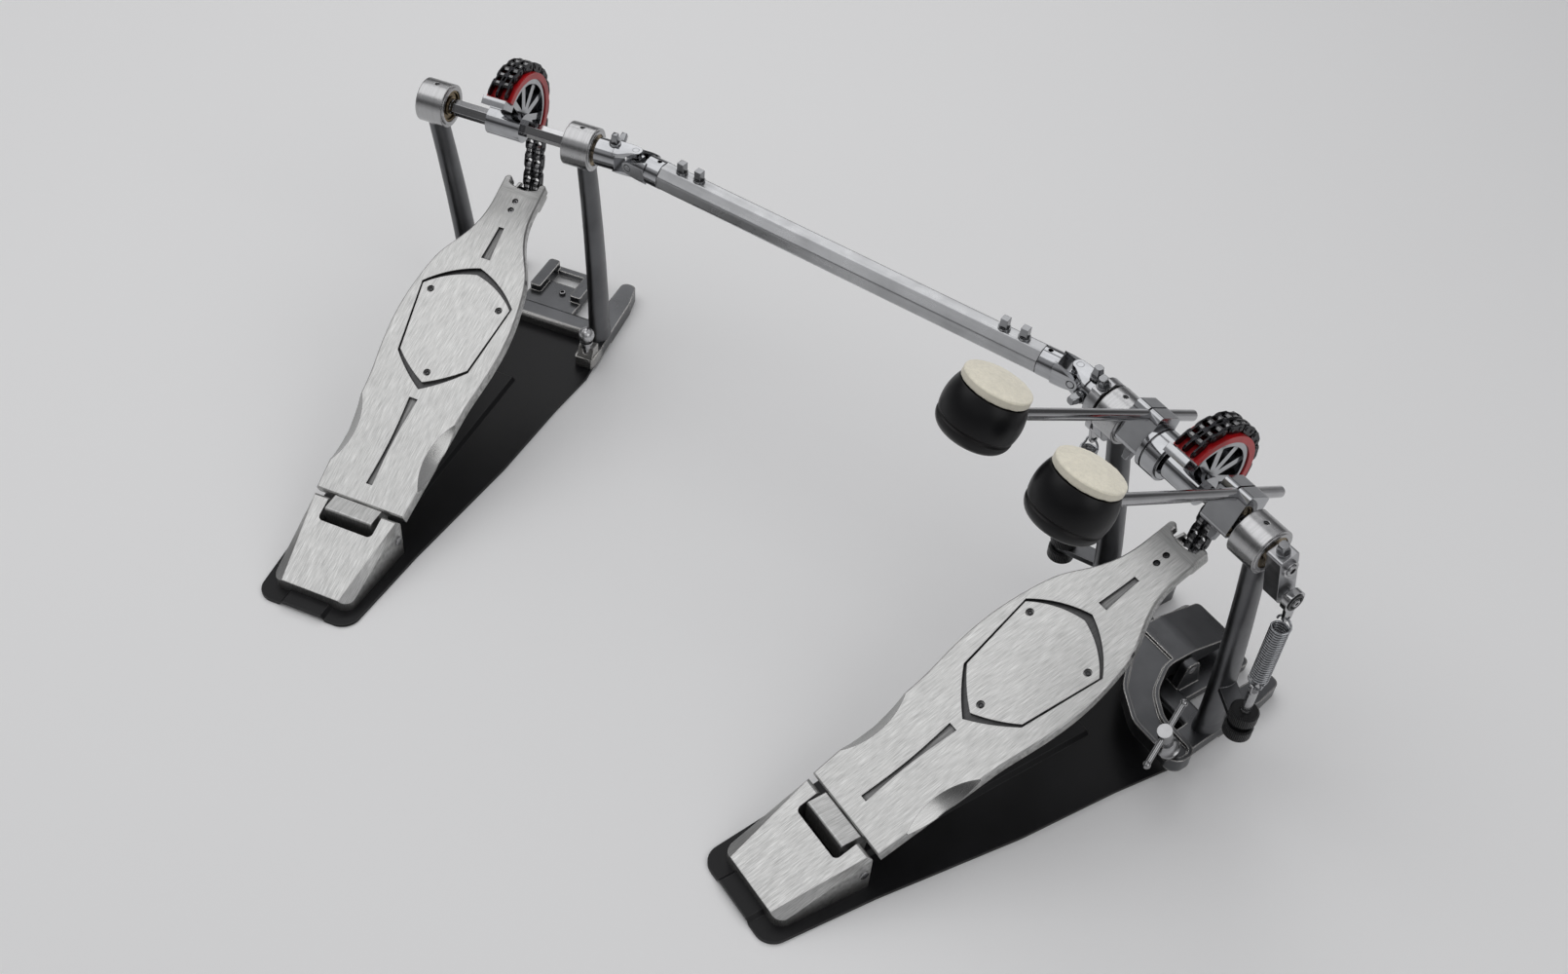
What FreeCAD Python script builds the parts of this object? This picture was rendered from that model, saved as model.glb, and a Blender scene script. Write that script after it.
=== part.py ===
import FreeCAD, Part
import math
import os

os.makedirs("parts", exist_ok=True)
V = FreeCAD.Vector
ORIGIN = V(0, 0, 0)
X_AXIS = V(1, 0, 0)
Z_AXIS = V(0, 0, 1)

# Fits
SEAT = 0.02
RUN = 0.05
FREE = 0.4
LOOSE = 0.7

# Places: the main pedal's axle is above the origin, the second pedal is turned beside it
AXLE_Z = 226.0
SECOND_X = -560.0
SECOND_Y = -200.0
SECOND_YAW = 34.0

# Axle and bearings
HEX_AF = 11.0
JOURNAL_R = 6.0
SPIGOT_R = 5.5
HUB_SHAFT_R = 8.0
BEARING_R = 12.5
HOUSING_R = 17.0
HOUSING_IN = 52.0
HOUSING_OUT = 74.0
LEFT_HOUSING_IN = 59.0
LEFT_HOUSING_OUT = 78.0
HOUSING_LIP = 0.8
LIP_STEP = 2.0
SET_HOLE_R = 1.8
SET_HOLE_DEEP = 2.5
AXLE_GAP = 2.5

# Base plate and front casting
PLATE_T = 2.5
PLATE_FRONT = 36.0
PLATE_BACK = 13.0
CHANNEL_RISE = 3.0
CHANNEL_HALF = 16.0
CHANNEL_END = -46.0
RAIL_TOP = 12.5
RAIL = [(54, -6), (72, -5.5), (68.5, 40), (66, 78), (61, 102), (48, 102), (48, 60), (51, 30)]
RAIL_R = [3, 5, 40, 20, 6, 6, 8, 20]
CROSS_Y0 = 14.0
CROSS_Y1 = 34.0
SECOND_CROSS_Y0 = 25.0
SECOND_CROSS_Y1 = 45.0
BRACKET_HALF = 25.0
BRACKET_Y = 102.0
SHELF_Y = 80.0
SHELF_TOP = 8.0
LIP_W = 6.0
BRACKET_W = 10.5
BRACKET_BACK = 62.0
BRACKET_TOP = 14.0
SPUR_X = 63.0
SPUR_Y = 0.0
SPUR_R = 3.0
SPUR_TOP = 35.0
BOSS_HALF = 7.0
BOSS_TOP = 22.0
BOSS_Y = 8.0
NECK_H = 5.0

# Posts: they lean forwards from the axle down to the rails
POST_TOP_X = 65.5
POST_ROOT_X = 60.5
POST_ROOT_Y = 29.0
POST_CURVE = 1.4
POST_TOP_A = 6.8
POST_TOP_B = 9.5
POST_GROW_A = 1.2
POST_GROW_B = 3.0
POST_FLARE = 1.2
POST_END = 12.0

# Footboard: its toe is placed, and its length sets the slope and the heel edge
BOARD_L = 300.0
TOE_Y = 21.0
TOE_Z = 160.2
HEEL_Z = 38.0
BOARD_T = 8.0
BOARD_EDGE = 1.2
BOARD_SIDE = [(0.4, 45.8), (0.5, 48.5), (0.57, 48.0), (0.653, 44.5), (0.73, 38.0), (0.79, 28.0),
              (0.853, 20.7)]
BOARD_WAIST = (0.307, 42.5)
PRONG_W = 18.5
PRONG_SLOT = 12.0
PRONG_L = 24.0
PRONG_DEEP = 9.0
PRONG_ARCH = 3.0
SCOOP_R = 78.6
SCOOP_X = 87.6
SCOOP_U = 0.17
SCOOP_N = 54.6
SLOT_DEEP = 1.8
SHIELD_DEEP = 3.0
SHIELD_LINE = 1.5
SHIELD_TIP = 5.0
PLATE_SCREWS = [(30.4, 0.612), (-30.4, 0.612), (0.0, 0.3867)]
PLATE_SCREW_R = 2.9
PLATE_SCREW_DEEP = 1.4
TOE_SCREWS = [(0.0, 0.9), (0.0, 0.9283)]
TOE_SCREW_R = 2.5
TOE_SCREW_DEEP = 2.5
SLOPE = math.degrees(math.asin((TOE_Z - HEEL_Z) / BOARD_L))
HEEL_Y = TOE_Y - BOARD_L * math.cos(math.radians(SLOPE))

# Heel hinge and heel plate, placed from the heel edge of the board
PIN_BACK = 8.5
PIN_Z = 21.0
PIN_R = 3.5
BARREL_R = 8.0
BLOCK_HALF = 20.0
BLOCK_GAP = 3.0
HEEL_GAP = 3.0
HEEL_L = 70.0
HEEL_HALF = 37.0
HEEL_TAPER = 4.0
NOTCH_BACK = 23.0
PIN_Y = HEEL_Y - PIN_BACK
PIN_HALF = HEEL_HALF + 1
HEEL_FRONT = HEEL_Y - HEEL_GAP
HEEL_REAR = HEEL_FRONT - HEEL_L
NOTCH_Y = HEEL_Y - NOTCH_BACK
NOTCH_HALF = BLOCK_HALF + BLOCK_GAP
PLATE_REAR = HEEL_REAR - PLATE_BACK

# Hoop clamp
HOOP_REST_TOP = 9.0
HOOP_REST_HALF = 34.0
HOOP_REST_Y = 100.0
CLAMP_Y = 42.0
CLAMP_Z = 28.0
CLAMP_PIN_R = 3.0
CLAMP_PIN_X0 = -29.0
CLAMP_PIN_X1 = 25.5
EAR_T = 7.0
EAR_HALF = 12.0
LEVER_X0 = -21.0
LEVER_X1 = 17.5
LEVER_Y = 92.0
LEVER_Z0 = 21.0
LEVER_Z1 = 37.0
LEVER_TAIL = 33.0
LEVER_RIM = 3.5
LEVER_SUNK = 2.5
BOLT_X = 71.0
BOLT_Y = -21.0
BOLT_TILT = 22.0
CLAMP_BOLT_R = 3.5
CLAMP_COLLAR_R = 7.0
CLAMP_SEAT = 9.5
CLAMP_TIP = -7.5
CLAMP_BAR = 40.0
CLAMP_BAR_HALF = 26.0
CLAMP_BAR_R = 2.2
CLAMP_BAR_TURN = 20.0

# Cam and chain
CAM_Y = 8.0
CAM_Z = 3.0
CAM_FROM = -45.0
PITCH = 8.0
PITCH_R = 40.0
ANCHOR_FORE = 21.58
DROP_LINKS = 10
RUN_A_LINKS = 4
RUN_B_LINKS = 3
WRAP_LINKS = 5
LINK_R = 3.3
ROLLER_R = 2.4
RIVET_R = 1.3
RIVET_H = 0.6
STRAND = 3.7
ROLLER_HALF = 1.8
LINK_T = 1.0
LINK_GAP = 0.05
ANCHOR_PIN_R = 1.7
ANCHOR_SLOT = 1.2
CHEEK_GAP = 1.6
CHEEK_T = 2.2
CHEEK_WALL = 3.5
RIM_IN = 27.5
RIM_OUT = 31.4
RIM_HALF = 9.5
WEB_HALF = 2.5
SPOKE_HALF = 7.5
SPOKE_T = 2.6
SPOKES = 5
CAM_HUB_R = 11.5
CAM_HUB_X0 = -16.0
CAM_HUB_X1 = 13.0
CLIP_START = 6.5
CLIP_END = 15.0
CLIP_RISE = 3.5
INSERT_HALF = 10.5
INSERT_END = 5.0

# Beaters
ROD_R = 4.0
ROD_RISE = 25.3
ROD_OFFSET = 16.7
ROD_STUB = 44.0
ROD_BEVEL = 0.8
HEAD_AT = 179.0
HEAD_END_R = 22.5
HEAD_MID_R = 26.0
HEAD_GROOVE_R = 24.2
HEAD_FOOT_R = 17.0
HEAD_HALF = 17.0
FELT_T = 6.5
FELT_EDGE = 2.0
MAIN_ROD_X = 36.0
LEFT_ROD_X = -46.5
HOLD_X = 11.5
HOLD_L = 12.0
HOLD_LOW = -10.0
HOLD_TOP = 22.5
HOLD_BOLT = -3.0
HOLD_SPLIT = 0.6
SLEEVE_R = 16.5
SLEEVE_END = -19.0

# Springs
SPRING_X = 94.5
ROCKER_Y = 9.0
ROCKER_Z = -30.0
ROCKER_T = 12.0
ROCKER_GAP = 5.5
ROCKER_HALF = 7.75
ROCKER_TOP = 11.0
ROCKER_RING_R = 16.5
ROCKER_END = 7.5
WHEEL_R = 6.5
WHEEL_HALF = 3.4
HOOK_R = 8.3
HOOK_HALF = 2.5
EYE_T = 1.3
EYE_WALL = 1.6
EYE_PLAY = 0.5
EYE_CLEAR = 0.75
SPRING_R = 5.9
SPRING_WIRE = 0.85
SPRING_TURNS = 22
SPRING_TOP = 169.0
SPRING_BOTTOM = 116.5
SPRING_BEND = 2.2
STUD_R = 3.5
STUD_FOOT = 52.0
LUG_Z0 = 67.0
LUG_Z1 = 71.5
KNOB_R = 10.0
KNOB_T = 10.5
KNOB_BEVEL = 1.2
KNOB_SIDES = 24
EYE_R = SPRING_WIRE + EYE_CLEAR
HOOK_EYE = AXLE_Z + ROCKER_Z - SPRING_TOP - SPRING_BEND - SPRING_R - EYE_PLAY
STUD_EYE = SPRING_BOTTOM - SPRING_BEND - SPRING_R - EYE_PLAY

# Drive shaft
SECOND_JOINT_X = 108.0
MAIN_JOINT_X = -113.0
CROSS_R = 2.5
CROSS_HALF = 11.0
CROSS_CUBE = 5.0
ARM_IN = 7.0
ARM_HALF = 5.0
YOKE_BASE = 13.5
YOKE_R = 11.0
YOKE_CROWN = 1.2
SHAFT_ROD_R = 7.5
SHAFT_ROD_L = 55.0
TUBE_AF = 21.0
TUBE_START = 28.0
TUBE_CORNER = 2.0
TUBE_BOLTS = [16.0, 32.0]

# Key bolts
KEY_HEAD = 5.6
KEY_HEAD_H = 7.5
KEY_WASHER_R = 4.6
KEY_WASHER_T = 1.6
KEY_SHANK_R = 2.8
KEY_SHANK = 3.5


def box(x0, x1, y0, y1, z0, z1):
    return Part.makeBox(x1 - x0, y1 - y0, z1 - z0, V(x0, y0, z0))


def bar(start, end, r):
    return Part.makeCylinder(r, (end - start).Length, start, end - start)


def disc(x0, x1, r, y=0.0, z=AXLE_Z):
    return Part.makeCylinder(r, x1 - x0, V(x0, y, z), X_AXIS)


def turned(shape, at, axis, angle):
    copy = shape.copy()
    copy.rotate(at, axis, angle)
    return copy


def moved(shape, x, y, z):
    copy = shape.copy()
    copy.translate(V(x, y, z))
    return copy


def mirrored(shape):
    return shape.mirror(ORIGIN, X_AXIS)


def joined(shapes):
    return shapes[0].multiFuse(shapes[1:]).removeSplitter()


def corner(before, at, after, r):
    # Two tangent points and the middle of the arc that rounds a corner
    a = (before - at).normalize()
    b = (after - at).normalize()
    half = a.getAngle(b) / 2
    back = r / math.tan(half)
    centre = at + (a + b).normalize() * (r / math.sin(half))
    middle = centre + (at - centre).normalize() * r
    return at + a * back, middle, at + b * back


def outline(points, radii):
    pts = [V(x, y, 0) for x, y in points]
    count = len(pts)
    ends = []
    for i in range(count):
        if radii[i] > 0:
            ends.append(corner(pts[i - 1], pts[i], pts[(i + 1) % count], radii[i]))
        else:
            ends.append((pts[i], None, pts[i]))
    edges = []
    for i in range(count):
        start, middle, end = ends[i]
        if middle is not None:
            edges.append(Part.Arc(start, middle, end).toShape())
        following = ends[(i + 1) % count][0]
        if (following - end).Length > 0.001:
            edges.append(Part.makeLine(end, following))
    return Part.Wire(edges)


def plate(points, radii, z0, z1):
    # Outline in plan, raised from z0 to z1
    wire = outline(points, radii)
    wire.translate(V(0, 0, z0))
    return Part.Face(wire).extrude(V(0, 0, z1 - z0))


def slab(points, radii, x0, x1):
    # Outline in the side view, given as (y, z), widened from x0 to x1
    return turned(plate(points, radii, x0, x1), ORIGIN, V(1, 1, 1), 120)


def sharp(points):
    return [0] * len(points)


def polygon(count, across, start=0.0):
    r = across / 2 / math.cos(math.pi / count)
    step = 2 * math.pi / count
    return [(r * math.cos(start + i * step), r * math.sin(start + i * step)) for i in range(count)]


def hex_bar(x0, x1, across):
    pts = [(y, z + AXLE_Z) for y, z in polygon(6, across)]
    return slab(pts, sharp(pts), x0, x1)


def on_board(shape):
    return moved(turned(shape, ORIGIN, X_AXIS, SLOPE), 0, HEEL_Y, HEEL_Z)


def on_second(shape):
    return moved(turned(shape, ORIGIN, Z_AXIS, SECOND_YAW), SECOND_X, SECOND_Y, 0)


def save(name, shape):
    shape.exportStep("parts/%s.step" % name)


def group(name, shapes):
    save(name, Part.makeCompound(shapes))


# Fasteners

def key_bolt(at, along):
    # Square-headed bolt whose washer sits at a point, its head pointing along a direction
    half = KEY_HEAD / 2
    head = box(-half, half, -half, half, KEY_WASHER_T, KEY_WASHER_T + KEY_HEAD_H)
    top = Part.makeCone(half * 1.6, half * 1.1, KEY_HEAD_H, V(0, 0, KEY_WASHER_T))
    washer = Part.makeCylinder(KEY_WASHER_R, KEY_WASHER_T)
    shank = Part.makeCylinder(KEY_SHANK_R, KEY_SHANK, V(0, 0, -KEY_SHANK))
    bolt = joined([head.common(top), washer, shank])
    bolt.Placement = FreeCAD.Placement(at, FreeCAD.Rotation(Z_AXIS, along))
    return bolt


def key_hole(at, along):
    hole = Part.makeCylinder(KEY_SHANK_R + SEAT, KEY_SHANK + 1, V(0, 0, -KEY_SHANK))
    seat = Part.makeCylinder(KEY_WASHER_R + FREE, KEY_SHANK)
    tool = joined([hole, seat])
    tool.Placement = FreeCAD.Placement(at, FreeCAD.Rotation(Z_AXIS, along))
    return tool


# Frames

def base_plate():
    rise = CHANNEL_RISE
    top = PLATE_T
    half = CHANNEL_HALF
    wide = HEEL_HALF + 60
    section = [(-wide, 0), (-wide, top), (-half - rise, top), (-half, top + rise), (half, top + rise),
               (half + rise, top), (wide, top), (wide, 0), (half + rise + 1, 0), (half + 1, rise),
               (-half - 1, rise), (-half - rise - 1, 0)]
    wire = outline(section, sharp(section))
    channel = Part.Face(wire).extrude(V(0, 0, CHANNEL_END - PLATE_REAR))
    channel = moved(turned(channel, ORIGIN, X_AXIS, 90), 0, CHANNEL_END, 0)
    wall = box(-half, half, CHANNEL_END - PLATE_T, CHANNEL_END, 0, top + rise)
    front = box(-wide, wide, CHANNEL_END, PLATE_FRONT, 0, top)
    middle = (HEEL_FRONT + CHANNEL_END) / 2
    side = [(HEEL_HALF + 3, PLATE_REAR), (HEEL_HALF + 10, HEEL_FRONT), (61, middle + 8),
            (66, CHANNEL_END - 16), (71, -16), (66, PLATE_FRONT)]
    radii = [14, 60, 90, 60, 6, 4]
    shape = [(-x, y) for x, y in reversed(side)] + side
    trim = plate(shape, radii[::-1] + radii, -1, 20)
    return joined([channel, wall, front]).common(trim).removeSplitter()


def heel_section(y, half, shoulder, top_half, top):
    right = [(half, PLATE_T), (half, shoulder), (top_half, top)]
    left = [(-x, z) for x, z in reversed(right)]
    corners = [V(x, y, z) for x, z in right + left]
    return Part.makePolygon(corners + corners[:1])


def heel_plate():
    rear_half = HEEL_HALF - HEEL_TAPER
    front = heel_section(HEEL_FRONT, HEEL_HALF, 35, HEEL_HALF - 1.5, 39)
    rear = heel_section(HEEL_REAR, rear_half, 8.5, rear_half - 9, 12.5)
    body = Part.makeLoft([rear, front], True, True)
    side = [(HEEL_REAR, PLATE_T), (HEEL_REAR, 14), (HEEL_FRONT - 6, HEEL_Z + 0.5), (HEEL_FRONT, HEEL_Z - 2),
            (HEEL_FRONT, PLATE_T)]
    body = body.common(slab(side, [0, 3, 9, 4, 0], -HEEL_HALF, HEEL_HALF))
    plan = [(-rear_half, HEEL_REAR), (rear_half, HEEL_REAR), (HEEL_HALF, HEEL_FRONT),
            (-HEEL_HALF, HEEL_FRONT)]
    body = body.common(plate(plan, [9, 9, 0, 0], 0, 60))
    open_end = HEEL_FRONT + 10
    notch = [(-NOTCH_HALF, NOTCH_Y), (NOTCH_HALF, NOTCH_Y), (NOTCH_HALF, open_end), (-NOTCH_HALF, open_end)]
    body = body.cut(plate(notch, [4, 4, 0, 0], 0, 60))
    pin = disc(-PIN_HALF, PIN_HALF, PIN_R + SEAT, PIN_Y, PIN_Z)
    pieces = body.cut(pin).cut(base_plate()).Solids
    return max(pieces, key=lambda piece: piece.Volume)


def rail():
    body = plate(RAIL, RAIL_R, PLATE_T, RAIL_TOP)
    toe = plate(RAIL, RAIL_R, 0, PLATE_T)
    foot = toe.common(box(0, 100, PLATE_FRONT + FREE, 110, 0, PLATE_T))
    return joined([body, foot])


def front_casting(rear, front):
    # Two rails and the cross-bar between them, which runs from rear to front
    right = rail()
    half = RAIL[-1][0] + 4
    side = [(rear, PLATE_T), (rear, RAIL_TOP), (front, RAIL_TOP), (front, PLATE_T)]
    return joined([right, mirrored(right), slab(side, [0, 4, 4, 0], -half, half)])


def ear(x0, x1):
    # Upright ear for the clamp's pin, standing on the hoop rest
    low = HOOP_REST_TOP - 2
    top = CLAMP_Z + 6
    side = [(CLAMP_Y - EAR_HALF, low), (CLAMP_Y - 6, top), (CLAMP_Y + 6, top), (CLAMP_Y + EAR_HALF, low)]
    return slab(side, [0, 5, 5, 0], x0, x1)


def main_front_casting():
    half = HOOP_REST_HALF
    plan = [(-half, CROSS_Y1 - 2), (half, CROSS_Y1 - 2), (half, HOOP_REST_Y), (-half, HOOP_REST_Y)]
    rest = plate(plan, [0, 0, 6, 6], PLATE_T, HOOP_REST_TOP)
    ears = [ear(CLAMP_PIN_X0, CLAMP_PIN_X0 + EAR_T), ear(CLAMP_PIN_X1 - EAR_T, CLAMP_PIN_X1)]
    body = joined([front_casting(CROSS_Y0, CROSS_Y1), rest] + ears)
    return body.cut(disc(CLAMP_PIN_X0, CLAMP_PIN_X1, CLAMP_PIN_R + SEAT, CLAMP_Y, CLAMP_Z))


def second_front_casting():
    body = front_casting(SECOND_CROSS_Y0, SECOND_CROSS_Y1)
    low = PLATE_T + FREE
    half = BRACKET_HALF
    shelf = box(-half, half, SECOND_CROSS_Y1 - 2, SHELF_Y, low, SHELF_TOP)
    lip = box(-half, half, BRACKET_Y - LIP_W, BRACKET_Y, low, SHELF_TOP)
    inner = half - BRACKET_W
    plan = [(inner, BRACKET_BACK), (half, BRACKET_BACK), (half, BRACKET_Y), (inner, BRACKET_Y)]
    cheek = plate(plan, [2, 2, 3, 3], low, BRACKET_TOP)
    # Sloping bosses behind the posts carry the spur screws
    rear = RAIL[0][1]
    side = [(rear, low), (rear, RAIL_TOP - 2), (SPUR_Y, BOSS_TOP), (BOSS_Y, BOSS_TOP), (BOSS_Y, low)]
    boss = slab(side, [0, 2, 3, 0, 0], SPUR_X - BOSS_HALF, SPUR_X + BOSS_HALF)
    body = joined([body, shelf, lip, cheek, mirrored(cheek), boss, mirrored(boss)])
    for x in (-SPUR_X, SPUR_X):
        body = body.cut(bar(V(x, SPUR_Y, 0), V(x, SPUR_Y, BOSS_TOP + 1), SPUR_R + SEAT))
    return body


def spur_screw(x):
    shank = bar(V(x, SPUR_Y, PLATE_T + SEAT), V(x, SPUR_Y, SPUR_TOP), SPUR_R)
    ball = Part.makeSphere(SPUR_R + 1.6, V(x, SPUR_Y, SPUR_TOP))
    neck = Part.makeCylinder(SPUR_R + 1.4, NECK_H, V(x, SPUR_Y, BOSS_TOP))
    return joined([shank, ball, neck])


def ellipse(x, y, z, a, b):
    # Ellipse in plan with half width a and half depth b, the deeper one along y
    curve = Part.Ellipse(V(x, y + b, z), V(x + a, y, z), V(x, y, z))
    return Part.Wire(curve.toShape())


def post_section(share):
    # Oval section of the post at a share of its height, from the rail to the axle
    z = RAIL_TOP + share * (AXLE_Z - POST_END - RAIL_TOP)
    x = POST_ROOT_X + share * (POST_TOP_X - POST_ROOT_X)
    y = POST_ROOT_Y * (1 - share ** POST_CURVE)
    flare = POST_FLARE if share == 0 else 0
    a = POST_TOP_A + POST_GROW_A * (1 - share) + flare
    b = POST_TOP_B + POST_GROW_B * (1 - share) + flare
    return ellipse(x, y, z, a, b)


def post(x_in, x_out, lug):
    # Right-hand post with its bearing housing, and a lug for the spring's stud if asked
    levels = [0, 0.05, 0.2, 0.4, 0.6, 0.8, 1]
    pillar = Part.makeLoft([post_section(share) for share in levels], True, True)
    body = [pillar, disc(x_in, x_out, HOUSING_R)]
    body.append(disc(x_in - HOUSING_LIP, x_out + HOUSING_LIP, HOUSING_R - LIP_STEP))
    if lug:
        y = ROCKER_Y
        root = POST_ROOT_X
        tab = [(root, 18), (SPRING_X, y - 8), (SPRING_X + 8, y), (SPRING_X, y + 8), (root, 33)]
        body.append(plate(tab, [0, 5, 5, 5, 0], LUG_Z0, LUG_Z1))
    shape = joined(body).cut(disc(x_in - 2, x_out + 2, BEARING_R + SEAT))
    if lug:
        foot = V(SPRING_X, ROCKER_Y, LUG_Z0 - 1)
        shape = shape.cut(bar(foot, foot + Z_AXIS * (LUG_Z1 - LUG_Z0 + 2), STUD_R + SEAT))
    middle = (x_in + x_out) / 2
    top = AXLE_Z + HOUSING_R
    return shape.cut(bar(V(middle, 0, top - SET_HOLE_DEEP), V(middle, 0, top + 1), SET_HOLE_R))


def bearing(x_in, x_out, bore):
    ring = disc(x_in, x_out, BEARING_R).cut(disc(x_in - 1, x_out + 1, bore))
    groove = disc(x_in - 1, x_in + 1.2, BEARING_R - 1.6).cut(disc(x_in - 1, x_in + 1.2, bore + 1.4))
    return ring.cut(groove)


def spring_stud():
    # Threaded stud flattened and drilled at the top for the spring's loop
    y = ROCKER_Y
    eye_y = y - SPRING_BEND
    low = STUD_EYE - EYE_R - 5
    top = STUD_EYE + EYE_R + EYE_WALL
    shank = bar(V(SPRING_X, y, STUD_FOOT), V(SPRING_X, y, low + 2), STUD_R)
    wall = EYE_R + EYE_WALL
    tip = [(y + STUD_R, low), (y + STUD_R, low + 4), (eye_y + wall, top), (eye_y - wall, top),
           (eye_y - wall, low + 4), (y - STUD_R, low)]
    blade = slab(tip, [0, 2, 2, 2, 0, 0], SPRING_X - EYE_T, SPRING_X + EYE_T)
    eye = disc(SPRING_X - STUD_R, SPRING_X + STUD_R, EYE_R, eye_y, STUD_EYE)
    return joined([shank, blade]).cut(eye)


def knob(z0):
    # Knurled thumb nut: a many-sided disc with bevelled rims
    pts = [(SPRING_X + x, ROCKER_Y + y) for x, y in polygon(KNOB_SIDES, 2 * KNOB_R)]
    body = plate(pts, sharp(pts), z0, z0 + KNOB_T)
    at = V(SPRING_X, ROCKER_Y, z0)
    small = KNOB_R - KNOB_BEVEL
    low = Part.makeCone(small, small + KNOB_T, KNOB_T, at)
    high = Part.makeCone(small + KNOB_T, small, KNOB_T, at)
    bore = Part.makeCylinder(STUD_R + RUN, KNOB_T, at)
    return body.common(low).common(high).cut(bore)


def knobs():
    return [knob(LUG_Z1 + SEAT), knob(LUG_Z0 - SEAT - KNOB_T)]


# Hoop clamp

def lever_side(drop):
    # Side view of the lever, its top lowered by an amount
    top = LEVER_Z1 - drop
    tail = LEVER_TAIL - drop
    rear = BOLT_Y - 20
    side = [(rear, LEVER_Z0), (rear, tail), (-8, tail), (CLAMP_Y - 10, top), (CLAMP_Y + 8, top),
            (LEVER_Y + 1, 27), (LEVER_Y + 1, LEVER_Z0)]
    return slab(side, [0, 0, 20, 20, 30, 0, 0], LEVER_X0 - 40, BOLT_X + 30)


def clamp_lever():
    # Curved arm with a raised rim, from the hoop to the eye of the clamp bolt
    eye = BOLT_X + 13
    plan = [(LEVER_X0, 30), (-8, 8), (12, -16), (40, -31), (eye, -31), (eye, -9), (50, -9), (30, 2),
            (LEVER_X1, 24), (LEVER_X1, LEVER_Y), (LEVER_X0, LEVER_Y)]
    radii = [8, 40, 30, 25, 9, 9, 20, 25, 20, 4, 4]
    body = plate(plan, radii, LEVER_Z0, LEVER_Z1).common(lever_side(0))
    floor = Part.Face(outline(plan, radii).makeOffset2D(-LEVER_RIM)).extrude(V(0, 0, 2 * LEVER_Z1))
    behind_pin = box(-60, 100, -60, CLAMP_Y - 12, LEVER_Z0 + 2, 2 * LEVER_Z1)
    body = body.cut(floor.common(behind_pin).cut(lever_side(LEVER_SUNK)))
    body = joined([body, disc(LEVER_X0, LEVER_X1, 7.5, CLAMP_Y, CLAMP_Z)])
    body = body.cut(disc(LEVER_X0 - 1, LEVER_X1 + 1, CLAMP_PIN_R + RUN, CLAMP_Y, CLAMP_Z))
    body = body.cut(bar(clamp_point(-60), clamp_point(60), CLAMP_BOLT_R + RUN))
    return body.cut(bar(clamp_point(CLAMP_SEAT), clamp_point(90), CLAMP_COLLAR_R + FREE))


def clamp_point(along):
    # A point on the clamp bolt's tilted axis, counted from the lever's lower face
    tilt = math.radians(BOLT_TILT)
    return V(BOLT_X, BOLT_Y - along * math.sin(tilt), LEVER_Z0 + along * math.cos(tilt))


def clamp_bolt():
    # Screw with a collar above the lever and a T-bar square to its axis
    shank = bar(clamp_point(CLAMP_TIP), clamp_point(CLAMP_BAR), CLAMP_BOLT_R)
    collar = bar(clamp_point(CLAMP_SEAT + FREE), clamp_point(CLAMP_SEAT + 6), CLAMP_COLLAR_R)
    boss = bar(clamp_point(CLAMP_BAR - 6), clamp_point(CLAMP_BAR + 5), CLAMP_BOLT_R + 2)
    middle = clamp_point(CLAMP_BAR)
    tilt = math.radians(BOLT_TILT)
    turn = math.radians(CLAMP_BAR_TURN)
    level = math.cos(turn)
    across = V(-math.sin(turn), level * math.cos(tilt), level * math.sin(tilt)) * CLAMP_BAR_HALF
    handle = bar(middle - across, middle + across, CLAMP_BAR_R)
    tips = [Part.makeSphere(CLAMP_BAR_R + 0.8, middle + across * way) for way in (-1, 1)]
    return joined([shank, collar, boss, handle] + tips)


# Footboard

def along(share):
    return share * BOARD_L


def both_sides(edges, closing):
    # Wire of edges on the right, the same on the left, and those that close it
    left = [edge.mirror(ORIGIN, X_AXIS) for edge in edges]
    return Part.Wire(Part.__sortEdges__(edges + left + closing))


def board_outline():
    share, half = BOARD_WAIST
    heel = V(HEEL_HALF + 1, 0, 0)
    waist = V(half, along(share), 0)
    toe = V(PRONG_W, BOARD_L - PRONG_L, 0)
    side = Part.BSplineCurve()
    middle = [V(w, along(u), 0) for u, w in BOARD_SIDE]
    side.interpolate([waist] + middle + [toe], InitialTangent=waist - heel, FinalTangent=V(0, 60, 0))
    round_u = BOARD_L - (PRONG_W - PRONG_SLOT) / 2
    outer = V(PRONG_W, round_u, 0)
    inner = V(PRONG_SLOT, round_u, 0)
    root = V(PRONG_SLOT, BOARD_L - PRONG_DEEP + PRONG_ARCH, 0)
    arch = V(0, BOARD_L - PRONG_DEEP, 0)
    edges = [Part.makeLine(heel, waist), side.toShape(), Part.makeLine(toe, outer)]
    edges.append(Part.Arc(outer, V((PRONG_W + PRONG_SLOT) / 2, BOARD_L, 0), inner).toShape())
    edges.append(Part.makeLine(inner, root))
    slot_root = Part.Arc(root, arch, V(-root.x, root.y, 0)).toShape()
    return both_sides(edges, [slot_root, Part.makeLine(V(-heel.x, 0, 0), heel)])


def shield(inset, tip):
    # Shield outline: arched top and bottom, straight sides
    top = V(40.2 - inset, along(0.627) - inset, 0)
    low = V(31.2 - inset, along(0.421) + inset, 0)
    peak = V(0, along(0.711) - inset - tip, 0)
    foot = V(0, along(0.335) + inset + tip, 0)
    crown = V(top.x * 0.52, (peak.y + top.y) / 2 + 3.2, 0)
    keel = V(low.x * 0.52, (foot.y + low.y) / 2 - 1.2, 0)
    edges = [Part.Arc(peak, crown, top).toShape(), Part.makeLine(top, low),
             Part.Arc(low, keel, foot).toShape()]
    return both_sides(edges, [])


def sunk(wire, deep):
    shape = Part.Face(wire).extrude(V(0, 0, deep + 1))
    shape.translate(V(0, 0, -deep))
    return shape


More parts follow.
